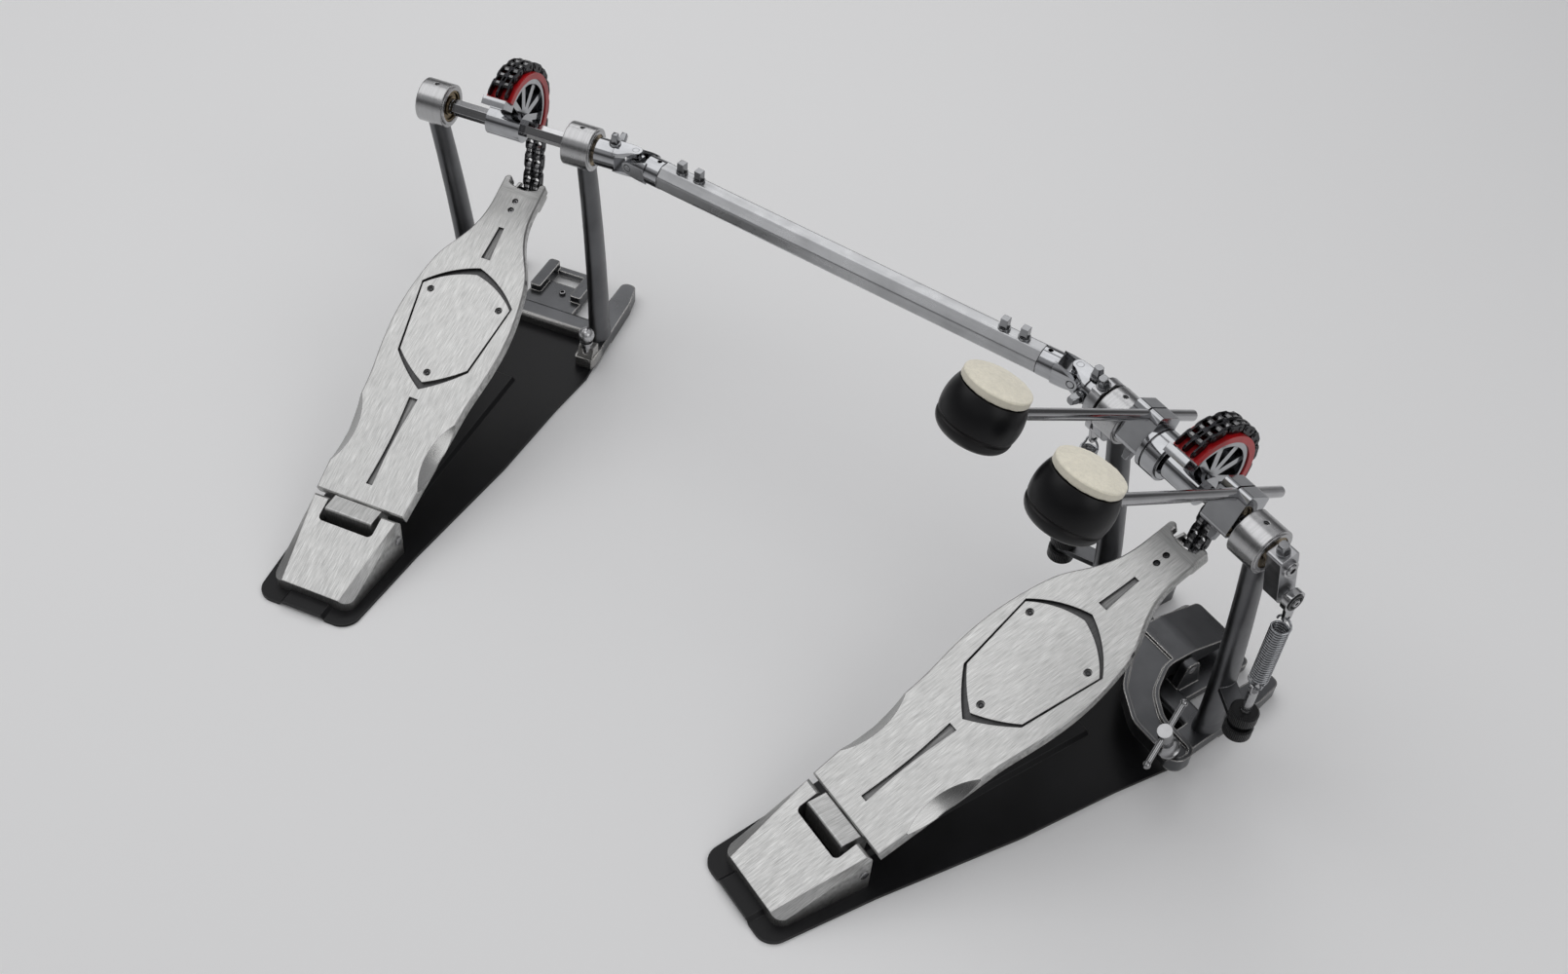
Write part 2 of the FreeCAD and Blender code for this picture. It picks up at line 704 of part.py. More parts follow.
def bored(shape, places, r, deep):
    # Blind screw holes in an upper face that lies at height 0
    for x, share in places:
        shape = shape.cut(Part.makeCylinder(r, deep + 1, V(x, along(share), -deep)))
    return shape


def traction_plate():
    plate_shape = sunk(shield(SHIELD_LINE, SHIELD_TIP), SHIELD_DEEP)
    plate_shape = plate_shape.common(box(-60, 60, 0, BOARD_L, -SHIELD_DEEP, 0))
    return on_board(bored(plate_shape, PLATE_SCREWS, PLATE_SCREW_R, PLATE_SCREW_DEEP))


def slot_wire(points):
    curve = Part.BSplineCurve()
    curve.interpolate([V(w, along(u), 0) for u, w in points])
    ends = [Part.makeLine(V(-w, along(u), 0), V(w, along(u), 0)) for u, w in (points[0], points[-1])]
    return both_sides([curve.toShape()], ends)


def footboard():
    body = Part.Face(board_outline()).extrude(V(0, 0, -BOARD_T))
    rim = [e for e in body.Edges if abs(e.BoundBox.ZMin) < 0.001]
    body = body.makeChamfer(BOARD_EDGE, rim)
    for side in (1, -1):
        body = body.cut(Part.makeSphere(SCOOP_R, V(side * SCOOP_X, along(SCOOP_U), SCOOP_N)))
    body = body.cut(sunk(shield(0, 0), SHIELD_DEEP))
    rear_slot = [(0.053, 2.6), (0.087, 2.0), (0.173, 1.3), (0.267, 2.6), (0.308, 3.6)]
    front_slot = [(0.741, 3.9), (0.79, 2.9), (0.842, 2.2)]
    for points in (rear_slot, front_slot):
        body = body.cut(sunk(slot_wire(points), SLOT_DEEP))
    return on_board(bored(body, TOE_SCREWS, TOE_SCREW_R, TOE_SCREW_DEEP))


def hinge_block():
    # Block under the heel edge of the board, bored for the heel pin
    rear = PIN_Y - BARREL_R
    side = [(rear, PIN_Z), (rear, HEEL_Z + 0.5), (HEEL_Y - 1.5, HEEL_Z + 0.5), (HEEL_Y + 6, HEEL_Z - 8),
            (HEEL_Y + 4, PIN_Z - 1), (PIN_Y + BARREL_R, PIN_Z)]
    body = slab(side, [0, 1.5, 0, 0, 0, 0], -BLOCK_HALF, BLOCK_HALF)
    barrel = disc(-BLOCK_HALF, BLOCK_HALF, BARREL_R, PIN_Y, PIN_Z)
    under = -BOARD_T
    tongue = on_board(plate([(-16, -3), (16, -3), (12, 26), (-12, 26)], [0, 0, 4, 4], under - 3, under))
    over_board = on_board(box(-60, 60, 0, 80, under, 40))
    body = joined([body, barrel, tongue]).cut(over_board)
    return body.cut(disc(-BLOCK_HALF, BLOCK_HALF, PIN_R + RUN, PIN_Y, PIN_Z))


def board_point(x, u, n):
    a = math.radians(SLOPE)
    return V(x, HEEL_Y + u * math.cos(a) - n * math.sin(a), HEEL_Z + u * math.sin(a) + n * math.cos(a))


# Chain

CAM = V(0, CAM_Y, AXLE_Z + CAM_Z)
CHAIN_REACH = math.hypot(DROP_LINKS * PITCH, PITCH_R)
ANCHOR_Y = CAM_Y + ANCHOR_FORE
ANCHOR_Z = CAM.z - math.sqrt(CHAIN_REACH ** 2 - ANCHOR_FORE ** 2)
LEAVES_AT = math.atan2(ANCHOR_Z - CAM.z, ANCHOR_Y - CAM_Y) + math.acos(PITCH_R / CHAIN_REACH)
WRAP_STEP = 2 * math.asin(PITCH / 2 / PITCH_R)


def chain_pin(k):
    # Centre of the k-th chain pin, counted up from the toe
    if k >= DROP_LINKS:
        a = LEAVES_AT + (k - DROP_LINKS) * WRAP_STEP
        return V(0, CAM.y + PITCH_R * math.cos(a), CAM.z + PITCH_R * math.sin(a))
    foot = V(0, ANCHOR_Y, ANCHOR_Z)
    return foot + (chain_pin(DROP_LINKS) - foot) * (k / DROP_LINKS)


def link_plate(x0, x1):
    ends = []
    for i in range(5):
        a = math.radians(90 + 45 * i)
        ends.append((LINK_R * math.cos(a), LINK_R * math.sin(a)))
    pts = ends + [(PITCH - y, -z) for y, z in ends]
    return slab(pts, sharp(pts), x0, x1)


def roller(y, x0, x1):
    pts = [(y + a, b) for a, b in polygon(8, 2 * ROLLER_R, math.pi / 8)]
    return slab(pts, sharp(pts), x0, x1)


def inner_link():
    # Two strands, each a pair of plates on two rollers
    strands = []
    for x in (-STRAND, STRAND):
        near = x - ROLLER_HALF
        far = x + ROLLER_HALF
        pieces = [link_plate(near - LINK_T, near), link_plate(far, far + LINK_T)]
        pieces += [roller(y, near, far) for y in (0, PITCH)]
        strands.append(joined(pieces))
    return strands


def outer_link():
    # Two outside plates with rivet heads and one wide plate between the strands
    edge = STRAND + ROLLER_HALF + LINK_T + LINK_GAP
    middle = STRAND - ROLLER_HALF - LINK_T - LINK_GAP
    rivets = [disc(edge + LINK_T, edge + LINK_T + RIVET_H, RIVET_R, y, 0) for y in (0, PITCH)]
    side = joined([link_plate(edge, edge + LINK_T)] + rivets)
    return [side, mirrored(side), link_plate(-middle, middle)]


INNER = inner_link()
OUTER = outer_link()


def chain_run(first, count):
    links = []
    for k in range(first, first + count):
        start = chain_pin(k)
        step = chain_pin(k + 1) - start
        angle = math.degrees(math.atan2(step.z, step.y))
        for piece in (INNER if k % 2 == 0 else OUTER):
            links.append(moved(turned(piece, ORIGIN, X_AXIS, angle), start.x, start.y, start.z))
    return links


CHEEK_IN = STRAND + ROLLER_HALF + 2 * LINK_T + CHEEK_GAP
CHEEK_OUT = CHEEK_IN + CHEEK_T


def chain_drop():
    links = chain_run(0, DROP_LINKS)
    pin = disc(-CHEEK_OUT - 0.5, CHEEK_OUT + 0.5, ANCHOR_PIN_R, ANCHOR_Y, ANCHOR_Z)
    strands = len(INNER)
    return [joined(links[:strands] + [pin])] + links[strands:]


def chain_anchor():
    # Bracket under the toe: two cheeks with slots open to the front for the chain's lowest pin
    heel = board_point(0, 0, 0)
    a = math.radians(SLOPE)
    u = (ANCHOR_Y - heel.y) * math.cos(a) + (ANCHOR_Z - heel.z) * math.sin(a)
    n = -(ANCHOR_Y - heel.y) * math.sin(a) + (ANCHOR_Z - heel.z) * math.cos(a)
    under = -BOARD_T
    reach = ANCHOR_PIN_R + ANCHOR_SLOT
    root = BOARD_L - PRONG_DEEP
    half = CHEEK_OUT
    plan = [(-half, root - 30), (half, root - 30), (half, root), (-half, root)]
    base = plate(plan, [3, 3, 0, 0], under - 3, under)
    low = n - reach - CHEEK_WALL
    front = u + reach
    high = n + reach + CHEEK_WALL
    side = [(root - 8, under - 3), (root - 4, low), (front, low), (front, high), (root, under)]
    cheek = slab(side, [0, 4, 3, 3, 0], CHEEK_IN, CHEEK_OUT)
    slot = disc(-half - 1, half + 1, reach, u, n)
    mouth = turned(box(-half - 1, half + 1, 0, 20, -reach, reach), ORIGIN, X_AXIS, -SLOPE)
    body = joined([base, cheek, mirrored(cheek)])
    return on_board(body.cut(slot).cut(moved(mouth, 0, u, n)))


# Cam

def sector(r0, r1, start, end, x0, x1):
    # Ring sector about the cam's centre between two angles in degrees
    def at(r, angle):
        a = math.radians(angle)
        return V(x0, CAM.y + r * math.cos(a), CAM.z + r * math.sin(a))
    middle = (start + end) / 2
    edges = [Part.Arc(at(r1, start), at(r1, middle), at(r1, end)).toShape(),
             Part.makeLine(at(r1, end), at(r0, end)),
             Part.Arc(at(r0, end), at(r0, middle), at(r0, start)).toShape(),
             Part.makeLine(at(r0, start), at(r1, start))]
    return Part.Face(Part.Wire(edges)).extrude(V(x1 - x0, 0, 0))


def chain_end():
    # Angle about the cam's centre at which the chain's last pin sits
    links = RUN_A_LINKS + RUN_B_LINKS + WRAP_LINKS
    return math.degrees(LEAVES_AT + links * WRAP_STEP)


def cam_wheel():
    end = chain_end() + CLIP_END
    rim = sector(RIM_IN, RIM_OUT, CAM_FROM, end, -RIM_HALF, RIM_HALF)
    web = sector(2, RIM_IN + 1, CAM_FROM, end, -WEB_HALF, WEB_HALF)
    hub = disc(CAM_HUB_X0, CAM_HUB_X1, CAM_HUB_R)
    spokes = []
    step = (end - CAM_FROM) / SPOKES
    for i in range(SPOKES):
        spoke = box(-SPOKE_HALF, SPOKE_HALF, 0, RIM_IN + 1, -SPOKE_T, SPOKE_T)
        spokes.append(moved(turned(spoke, ORIGIN, X_AXIS, CAM_FROM + (i + 0.5) * step), 0, CAM.y, CAM.z))
    clip = sector(RIM_OUT - 2, PITCH_R + CLIP_RISE, chain_end() + CLIP_START, end, -RIM_HALF, RIM_HALF)
    body = joined([rim, web, hub, clip] + spokes)
    return body.cut(hex_bar(CAM_HUB_X0 - 1, CAM_HUB_X1 + 1, HEX_AF + 2 * SEAT))


def cam_insert():
    seat = PITCH_R * math.cos(WRAP_STEP / 2) - LINK_R - LINK_GAP
    return sector(RIM_OUT + SEAT, seat, CAM_FROM, chain_end() + INSERT_END, -INSERT_HALF, INSERT_HALF)


# Beaters, drawn with the rod level and then turned about the axle

def raised(shape):
    return turned(shape, V(0, 0, AXLE_Z), X_AXIS, -ROD_RISE)


def beater_block(x):
    # Block around the axle with the rod's bore above it
    side = [(-HOLD_L, HOLD_LOW), (HOLD_L, HOLD_LOW), (HOLD_L, 8), (HOLD_L - 1.5, HOLD_TOP),
            (1.5 - HOLD_L, HOLD_TOP), (-HOLD_L, HOLD_TOP - 6)]
    pts = [(y, z + AXLE_Z) for y, z in side]
    body = slab(pts, [3, 4, 4, 3, 3, 3], x - HOLD_X, x + HOLD_X)
    body = body.cut(rod_level(x, ROD_R + SEAT))
    split = box(x - HOLD_SPLIT, x + HOLD_SPLIT, -30, 30, AXLE_Z + ROD_OFFSET, AXLE_Z + 40)
    return raised(body.cut(split))


def rod_level(x, r):
    z = AXLE_Z + ROD_OFFSET
    return bar(V(x, -HEAD_AT, z), V(x, ROD_STUB, z), r)


def beater_rod(x):
    rod = rod_level(x, ROD_R)
    end = [e for e in rod.Edges if abs(e.BoundBox.YMin - ROD_STUB) < 0.001]
    return raised(rod.makeChamfer(ROD_BEVEL, end))


def round_profile(points):
    # Closed edges from the axis through points and three-point arcs, back to the axis
    edges = []
    at = V(0, 0, points[0][-1][1])
    for step in points:
        way = [V(r, 0, z) for r, z in step]
        if len(way) == 1:
            edges.append(Part.makeLine(at, way[0]))
        else:
            edges.append(Part.Arc(at, way[0], way[1]).toShape())
        at = way[-1]
    edges.append(Part.makeLine(at, V(0, 0, at.z)))
    edges.append(Part.makeLine(V(0, 0, at.z), V(0, 0, points[0][-1][1])))
    return Part.Face(Part.Wire(edges)).revolve(ORIGIN, Z_AXIS, 360)


def beater_head(x):
    # Barrel with a groove above its rounded foot
    h = HEAD_HALF
    belly = HEAD_MID_R - 0.7
    profile = [[(HEAD_FOOT_R, -h)], [(HEAD_MID_R - 3, -13.2), (HEAD_MID_R - 1, -7.8)], [(HEAD_GROOVE_R, -7)],
               [(HEAD_GROOVE_R, -5.8)], [(belly, -5)], [(HEAD_MID_R, 4), (HEAD_END_R, h)]]
    head = moved(round_profile(profile), x, -HEAD_AT, AXLE_Z + ROD_OFFSET)
    return raised(head.cut(rod_level(x, ROD_R + SEAT)))


def beater_felt(x):
    r = HEAD_END_R
    e = FELT_EDGE
    profile = [[(r, 0)], [(r, FELT_T - e)], [(r - 0.3 * e, FELT_T - 0.3 * e), (r - e, FELT_T)]]
    return raised(moved(round_profile(profile), x, -HEAD_AT, AXLE_Z + ROD_OFFSET + HEAD_HALF))


def level_dir(y, z):
    # Direction given with the rod level, turned with it
    a = math.radians(ROD_RISE)
    return V(0, y * math.cos(a) + z * math.sin(a), -y * math.sin(a) + z * math.cos(a))


def level_point(x, y, z):
    return V(x, 0, AXLE_Z) + level_dir(y, z)


def block_bolt(x):
    return level_point(x, HOLD_BOLT, HOLD_LOW), level_dir(0, -1)


# Axles, hubs and rockers

def main_axle():
    middle = hex_bar(CAM_HUB_X0 - 1.5, HOUSING_IN - 2, HEX_AF)
    left = disc(LEFT_ROD_X - HOLD_X + 4, CAM_HUB_X0 - 1.5, SPIGOT_R)
    right = disc(HOUSING_IN - 2, SPRING_X - WHEEL_HALF, JOURNAL_R)
    return joined([middle, left, right])


def second_axle():
    middle = hex_bar(2 - HOUSING_IN, HOUSING_IN - 2, HEX_AF)
    left = disc(-HOUSING_OUT - 3, 2 - HOUSING_IN, JOURNAL_R)
    right = disc(HOUSING_IN - 2, SECOND_JOINT_X - YOKE_BASE - 4, JOURNAL_R)
    return joined([middle, left, right])


def left_hub():
    inner = LEFT_ROD_X + HOLD_X
    outer = LEFT_ROD_X - HOLD_X
    sleeve = disc(inner - 0.5, SLEEVE_END, SLEEVE_R)
    groove = disc(inner + 3, inner + 4.5, SLEEVE_R + 1).cut(disc(inner + 3, inner + 4.5, SLEEVE_R - 1))
    rim = disc(SLEEVE_END, SLEEVE_END + 1.2, SLEEVE_R - 2)
    shaft = disc(MAIN_JOINT_X + YOKE_BASE + 4, outer + 0.5, HUB_SHAFT_R)
    body = joined([sleeve.cut(groove), rim, beater_block(LEFT_ROD_X), shaft])
    return body.cut(disc(outer + 2, 0, SPIGOT_R + RUN))


ROCKER_LEAN = math.degrees(math.atan2(ROCKER_Y, -ROCKER_Z))
ROCKER_X1 = SPRING_X - ROCKER_GAP


def leaning(shape):
    return turned(shape, V(0, 0, AXLE_Z), X_AXIS, ROCKER_LEAN)


def rocker_bolt(x, top):
    # Place on top of the rocker and the way its bolt points
    a = math.radians(ROCKER_LEAN)
    way = V(0, -math.sin(a), math.cos(a))
    return V(x, 0, AXLE_Z) + way * top, way


def rocker(start, bore, ring_r, top):
    # Right-hand rocker: a leaning block clamped on the axle, and a bearing on a short pin
    end = math.hypot(ROCKER_Y, ROCKER_Z) + ROCKER_END
    half = ROCKER_HALF
    pts = [(y, z + AXLE_Z) for y, z in ((-half, top), (-half, -end), (half, -end), (half, top))]
    block = leaning(slab(pts, [2, ROCKER_END, ROCKER_END, 2], start, ROCKER_X1))
    ring = disc(start, ROCKER_X1, ring_r)
    y = ROCKER_Y
    z = AXLE_Z + ROCKER_Z
    pin = disc(ROCKER_X1 - 1, SPRING_X - WHEEL_HALF, 4.0, y, z)
    body = joined([block, ring, pin]).cut(disc(start - 1, ROCKER_X1 + 1, bore + SEAT))
    wheel = disc(SPRING_X - WHEEL_HALF, SPRING_X + WHEEL_HALF, WHEEL_R, y, z)
    face = disc(SPRING_X + WHEEL_HALF - 1, SPRING_X + WHEEL_HALF + 1, WHEEL_R - 1.5, y, z)
    screw = disc(SPRING_X + WHEEL_HALF - 1.5, SPRING_X + WHEEL_HALF, 3.0, y, z)
    return body, joined([wheel.cut(face), screw])


def spring_hook():
    # Ring that runs on the rocker's bearing, with an eye below for the spring
    y = ROCKER_Y
    z = AXLE_Z + ROCKER_Z
    ring = disc(SPRING_X - HOOK_HALF, SPRING_X + HOOK_HALF, HOOK_R, y, z)
    eye_y = y + SPRING_BEND
    wall = EYE_R + EYE_WALL
    low = z - HOOK_EYE - wall
    pts = [(y - 4, z - WHEEL_R), (eye_y - wall, low), (eye_y + wall, low), (y + 5, z - WHEEL_R)]
    tail = slab(pts, [0, 3, 3, 0], SPRING_X - EYE_T, SPRING_X + EYE_T)
    body = joined([ring, tail]).cut(disc(SPRING_X - 4, SPRING_X + 4, WHEEL_R + RUN, y, z))
    return body.cut(disc(SPRING_X - 4, SPRING_X + 4, EYE_R, eye_y, z - HOOK_EYE))


# Springs

def biarc(p0, t0, p1, t1):
    # Two arcs that join two points with given unit tangents
    v = p1 - p0
    t = t0 + t1
    k = 2 * (1 - t0.dot(t1))
    vt = v.dot(t)
    d = (-vt + math.sqrt(vt * vt + k * v.dot(v))) / k
    q0 = p0 + t0 * d
    q1 = p1 - t1 * d
    middle = (q0 + q1) * 0.5
    return [arc_by_corner(p0, q0, middle), arc_by_corner(middle, q1, p1)]


def arc_by_corner(start, apex, end):
    chord = (start + end) * 0.5
    half = (end - start).Length / 2
    rise = (apex - chord).Length
    tangent = math.atan2(rise, half)
    peak = chord + (apex - chord) * (half * math.tan(tangent / 2) / rise)
    return Part.Arc(start, peak, end)


def coil_point(z0, pitch, a):
    at = V(SPRING_R * math.cos(a), SPRING_R * math.sin(a), z0 + pitch * a / (2 * math.pi))
    along = V(-SPRING_R * math.sin(a), SPRING_R * math.cos(a), pitch / (2 * math.pi)).normalize()
    return at, along


def spring_arcs():
    # Loop through the stud, coils upwards, loop through the hook; the axis is at the origin of plan
    pitch = (SPRING_TOP - SPRING_BOTTOM) / SPRING_TURNS
    arcs = []
    bend = SPRING_BEND
    low, low_dir = coil_point(SPRING_BOTTOM, pitch, 0)
    foot = V(low.x, low.y - bend, low.z - bend)
    arcs.append(Part.Arc(foot - V(2 * SPRING_R, 0, 0), foot - V(SPRING_R, 0, SPRING_R), foot))
    arcs += biarc(foot, Z_AXIS, low, low_dir)
    for i in range(2 * SPRING_TURNS):
        a = coil_point(SPRING_BOTTOM, pitch, i * math.pi)
        b = coil_point(SPRING_BOTTOM, pitch, (i + 1) * math.pi)
        arcs += biarc(a[0], a[1], b[0], b[1])
    high, high_dir = coil_point(SPRING_BOTTOM, pitch, 2 * math.pi * SPRING_TURNS)
    neck = V(high.x, high.y + bend, high.z + bend)
    arcs += biarc(high, high_dir, neck, Z_AXIS)
    arcs.append(Part.Arc(neck, neck + V(-SPRING_R, 0, SPRING_R), neck - V(2 * SPRING_R, 0, 0)))
    return arcs


def self_gap(arcs):
    # Least clear distance between turns, measured on points along the wire
    points = []
    for arc in arcs:
        points += arc.discretize(Number=6)[:-1]
    least = SPRING_TOP
    for i in range(len(points)):
        for j in range(i + 14, min(i + 60, len(points))):
            least = min(least, (points[i] - points[j]).Length)
    return least - 2 * SPRING_WIRE


def spring():
    arcs = spring_arcs()
    print("least gap between spring turns: %.2f mm" % self_gap(arcs))
    path = Part.Wire([arc.toShape() for arc in arcs])
    first = arcs[0]
    start = first.FirstParameter
    profile = Part.Circle(first.value(start), first.tangent(start)[0], SPRING_WIRE)
    tube = path.makePipeShell([Part.Wire(profile.toShape())], True, False)
    return moved(tube, SPRING_X, ROCKER_Y, 0)


# Drive shaft, drawn along x from the second pedal's joint

def second_point(x, y, z):
    a = math.radians(SECOND_YAW)
    return V(SECOND_X + x * math.cos(a) - y * math.sin(a), SECOND_Y + x * math.sin(a) + y * math.cos(a), z)


JOINT_A = second_point(SECOND_JOINT_X, 0, AXLE_Z)
JOINT_B = V(MAIN_JOINT_X, 0, AXLE_Z)
SHAFT_L = (JOINT_B - JOINT_A).Length
SHAFT_YAW = math.degrees(math.atan2(JOINT_B.y - JOINT_A.y, JOINT_B.x - JOINT_A.x))


def on_shaft(shape):
    level = moved(shape, 0, 0, -AXLE_Z)
    return moved(turned(level, ORIGIN, Z_AXIS, SHAFT_YAW), JOINT_A.x, JOINT_A.y, AXLE_Z)


def yoke(collar_end, hole):
    # Fork whose pin is upright at the origin, its collar reaching towards -x
    arms = []
    back = -YOKE_BASE - 2
    wide = YOKE_R - 1
    side = [(back, -wide), (0, -ARM_HALF), (ARM_HALF, -ARM_HALF)]
    plan = side + [(x, -y) for x, y in reversed(side)]
    round_arm = ARM_HALF - 0.5
    for z0, z1 in ((ARM_IN, CROSS_HALF), (-CROSS_HALF, -ARM_IN)):
        arms.append(plate(plan, [0, 6, round_arm, round_arm, 6, 0], AXLE_Z + z0, AXLE_Z + z1))
    crown = disc(back - 1, ARM_HALF + 1, YOKE_R + YOKE_CROWN)
    collar = disc(-collar_end, -YOKE_BASE, YOKE_R)
    body = joined([arm.common(crown) for arm in arms] + [collar])
    reach = V(0, 0, CROSS_HALF + 1)
    centre = V(0, 0, AXLE_Z)
    return body.cut(bar(centre - reach, centre + reach, CROSS_R + hole))


def cross(other):
    # Cross with an upright pin, and a level one at an angle in plan
    upright = bar(V(0, 0, AXLE_Z - CROSS_HALF), V(0, 0, AXLE_Z + CROSS_HALF), CROSS_R)
    level = bar(V(0, -CROSS_HALF, AXLE_Z), V(0, CROSS_HALF, AXLE_Z), CROSS_R)
    c = CROSS_CUBE
    cube = box(-c, c, -c, c, AXLE_Z - c, AXLE_Z + c)
    return joined([upright, turned(level, ORIGIN, Z_AXIS, other), turned(cube, ORIGIN, Z_AXIS, other)])


def shaft_rod():
    # Rod that slides in the tube, with a collar and a fork whose pin is level
    fork = turned(yoke(TUBE_START - 0.5, LOOSE), V(0, 0, AXLE_Z), X_AXIS, 90)
    fork = turned(fork, ORIGIN, Z_AXIS, 180)
    body = joined([fork, disc(TUBE_START - 1, TUBE_START + SHAFT_ROD_L, SHAFT_ROD_R)])
    screw = V(TUBE_START - 5, 0, AXLE_Z)
    return body.cut(bar(screw, screw + Z_AXIS * 20, SET_HOLE_R))


def tube_bolts():
    places = []
    for offset in TUBE_BOLTS:
        places.append(V(TUBE_START + offset, 0, AXLE_Z + TUBE_AF / 2))
        places.append(V(SHAFT_L - TUBE_START - offset, 0, AXLE_Z + TUBE_AF / 2))
    return places


def drive_tube():
    pts = [(y, z + AXLE_Z) for y, z in polygon(8, TUBE_AF, math.pi / 8)]
    body = slab(pts, [TUBE_CORNER] * len(pts), TUBE_START, SHAFT_L - TUBE_START)
    body = body.cut(disc(0, SHAFT_L, SHAFT_ROD_R + SEAT))
    for place in tube_bolts():
        body = body.cut(bar(place - Z_AXIS * 6, place + Z_AXIS, KEY_SHANK_R + SEAT))
    return body


def tube_bolt(place):
    half = KEY_HEAD / 2
    low = place.z + KEY_WASHER_T
    head = box(place.x - half, place.x + half, -half, half, low, low + KEY_HEAD_H)
    washer = bar(place, place + Z_AXIS * KEY_WASHER_T, KEY_WASHER_R)
    shank = bar(place - Z_AXIS * (TUBE_AF / 2 - SHAFT_ROD_R - SEAT), place, KEY_SHANK_R)
    return joined([head, washer, shank])


# Key bolts on the turning parts: a washer's place and the way the head points

def main_bolts():
    return [block_bolt(MAIN_ROD_X), rocker_bolt(ROCKER_X1 - ROCKER_T / 2, ROCKER_TOP)]


def left_bolts():
    collar = MAIN_JOINT_X + YOKE_BASE + 3
    above = YOKE_R + 1
    rocker_x = LEFT_HOUSING_OUT + AXLE_GAP + KEY_WASHER_R
    return [block_bolt(LEFT_ROD_X), (V(collar, 0, AXLE_Z + above), Z_AXIS),
            rocker_bolt(-rocker_x, ROCKER_RING_R - 0.8), (V(collar, -above, AXLE_Z), V(0, -1, 0))]


def drilled(shape, places):
    for at, along in places:
        shape = shape.cut(key_hole(at, along))
    return shape


# Build every node

paired = {"footboard": footboard(), "hinge_block": hinge_block(), "traction_plate": traction_plate(),
          "chain_anchor": chain_anchor(), "base_plate": base_plate(), "heel_plate": heel_plate(),
          "cam_wheel": cam_wheel(), "cam_insert": cam_insert()}
for name, shape in paired.items():
    save("main_" + name, shape)
    save("second_" + name, on_second(shape))

run_b_first = DROP_LINKS + RUN_A_LINKS
wrap_first = run_b_first + RUN_B_LINKS
chains = {"chain_drop": chain_drop(), "chain_run_a": chain_run(DROP_LINKS, RUN_A_LINKS),
          "chain_run_b": chain_run(run_b_first, RUN_B_LINKS), "chain_wrap": chain_run(wrap_first, WRAP_LINKS)}
for name, links in chains.items():
    group("main_" + name, links)
    group("second_" + name, [on_second(link) for link in links])

save("main_front_casting", main_front_casting())
save("second_front_casting", on_second(second_front_casting()))
left_post = mirrored(post(LEFT_HOUSING_IN, LEFT_HOUSING_OUT, True))
group("main_posts", [post(HOUSING_IN, HOUSING_OUT, True), left_post])
plain_post = post(HOUSING_IN, HOUSING_OUT, False)
group("second_posts", [on_second(plain_post), on_second(mirrored(plain_post))])

heel_pin = disc(-PIN_HALF, PIN_HALF, PIN_R, PIN_Y, PIN_Z)
clamp_pin = disc(CLAMP_PIN_X0, CLAMP_PIN_X1, CLAMP_PIN_R, CLAMP_Y, CLAMP_Z)
group("pivot_pins", [heel_pin, on_second(heel_pin), clamp_pin])
ring = bearing(HOUSING_IN, HOUSING_OUT, JOURNAL_R + RUN)
left_ring = mirrored(bearing(LEFT_HOUSING_IN, LEFT_HOUSING_OUT, HUB_SHAFT_R + RUN))
group("axle_bearings", [ring, left_ring, on_second(ring), on_second(mirrored(ring))])
stud = spring_stud()
spurs = [on_second(spur_screw(x)) for x in (-SPUR_X, SPUR_X)]
group("threaded_studs", [stud, mirrored(stud)] + spurs)
group("main_tension_knobs", knobs())
group("left_tension_knobs", [mirrored(nut) for nut in knobs()])
save("hoop_clamp_lever", clamp_lever())
save("hoop_clamp_bolt", clamp_bolt())

save("main_axle", main_axle())
main_block = beater_block(MAIN_ROD_X).cut(hex_bar(0, HOUSING_IN, HEX_AF + 2 * SEAT))
save("main_beater_block", drilled(main_block, main_bolts()[:1]))
arm, wheel = rocker(HOUSING_OUT + AXLE_GAP, JOURNAL_R, ROCKER_HALF, ROCKER_TOP)
group("main_spring_rocker", [drilled(arm, main_bolts()[1:]), wheel])
group("main_axle_bolts", [key_bolt(at, way) for at, way in main_bolts()])

for side, x in (("main", MAIN_ROD_X), ("left", LEFT_ROD_X)):
    save(side + "_beater_rod", beater_rod(x))
    save(side + "_beater_head", beater_head(x))
    save(side + "_beater_felt", beater_felt(x))

save("left_beater_hub", drilled(left_hub(), left_bolts()[:1]))
arm, wheel = rocker(LEFT_HOUSING_OUT + AXLE_GAP, YOKE_R, ROCKER_RING_R, ROCKER_RING_R)
group("left_spring_rocker", [drilled(mirrored(arm), left_bolts()[2:3]), mirrored(wheel)])
main_yoke = turned(yoke(-MAIN_JOINT_X - LEFT_HOUSING_OUT - 2, RUN), ORIGIN, Z_AXIS, 180)
main_yoke = moved(main_yoke, MAIN_JOINT_X, 0, 0)
main_yoke = main_yoke.cut(disc(MAIN_JOINT_X + YOKE_BASE + 3, 0, HUB_SHAFT_R + SEAT))
save("main_joint_yoke", drilled(main_yoke, [left_bolts()[1], left_bolts()[3]]))
group("left_hub_bolts", [key_bolt(at, way) for at, way in left_bolts()])

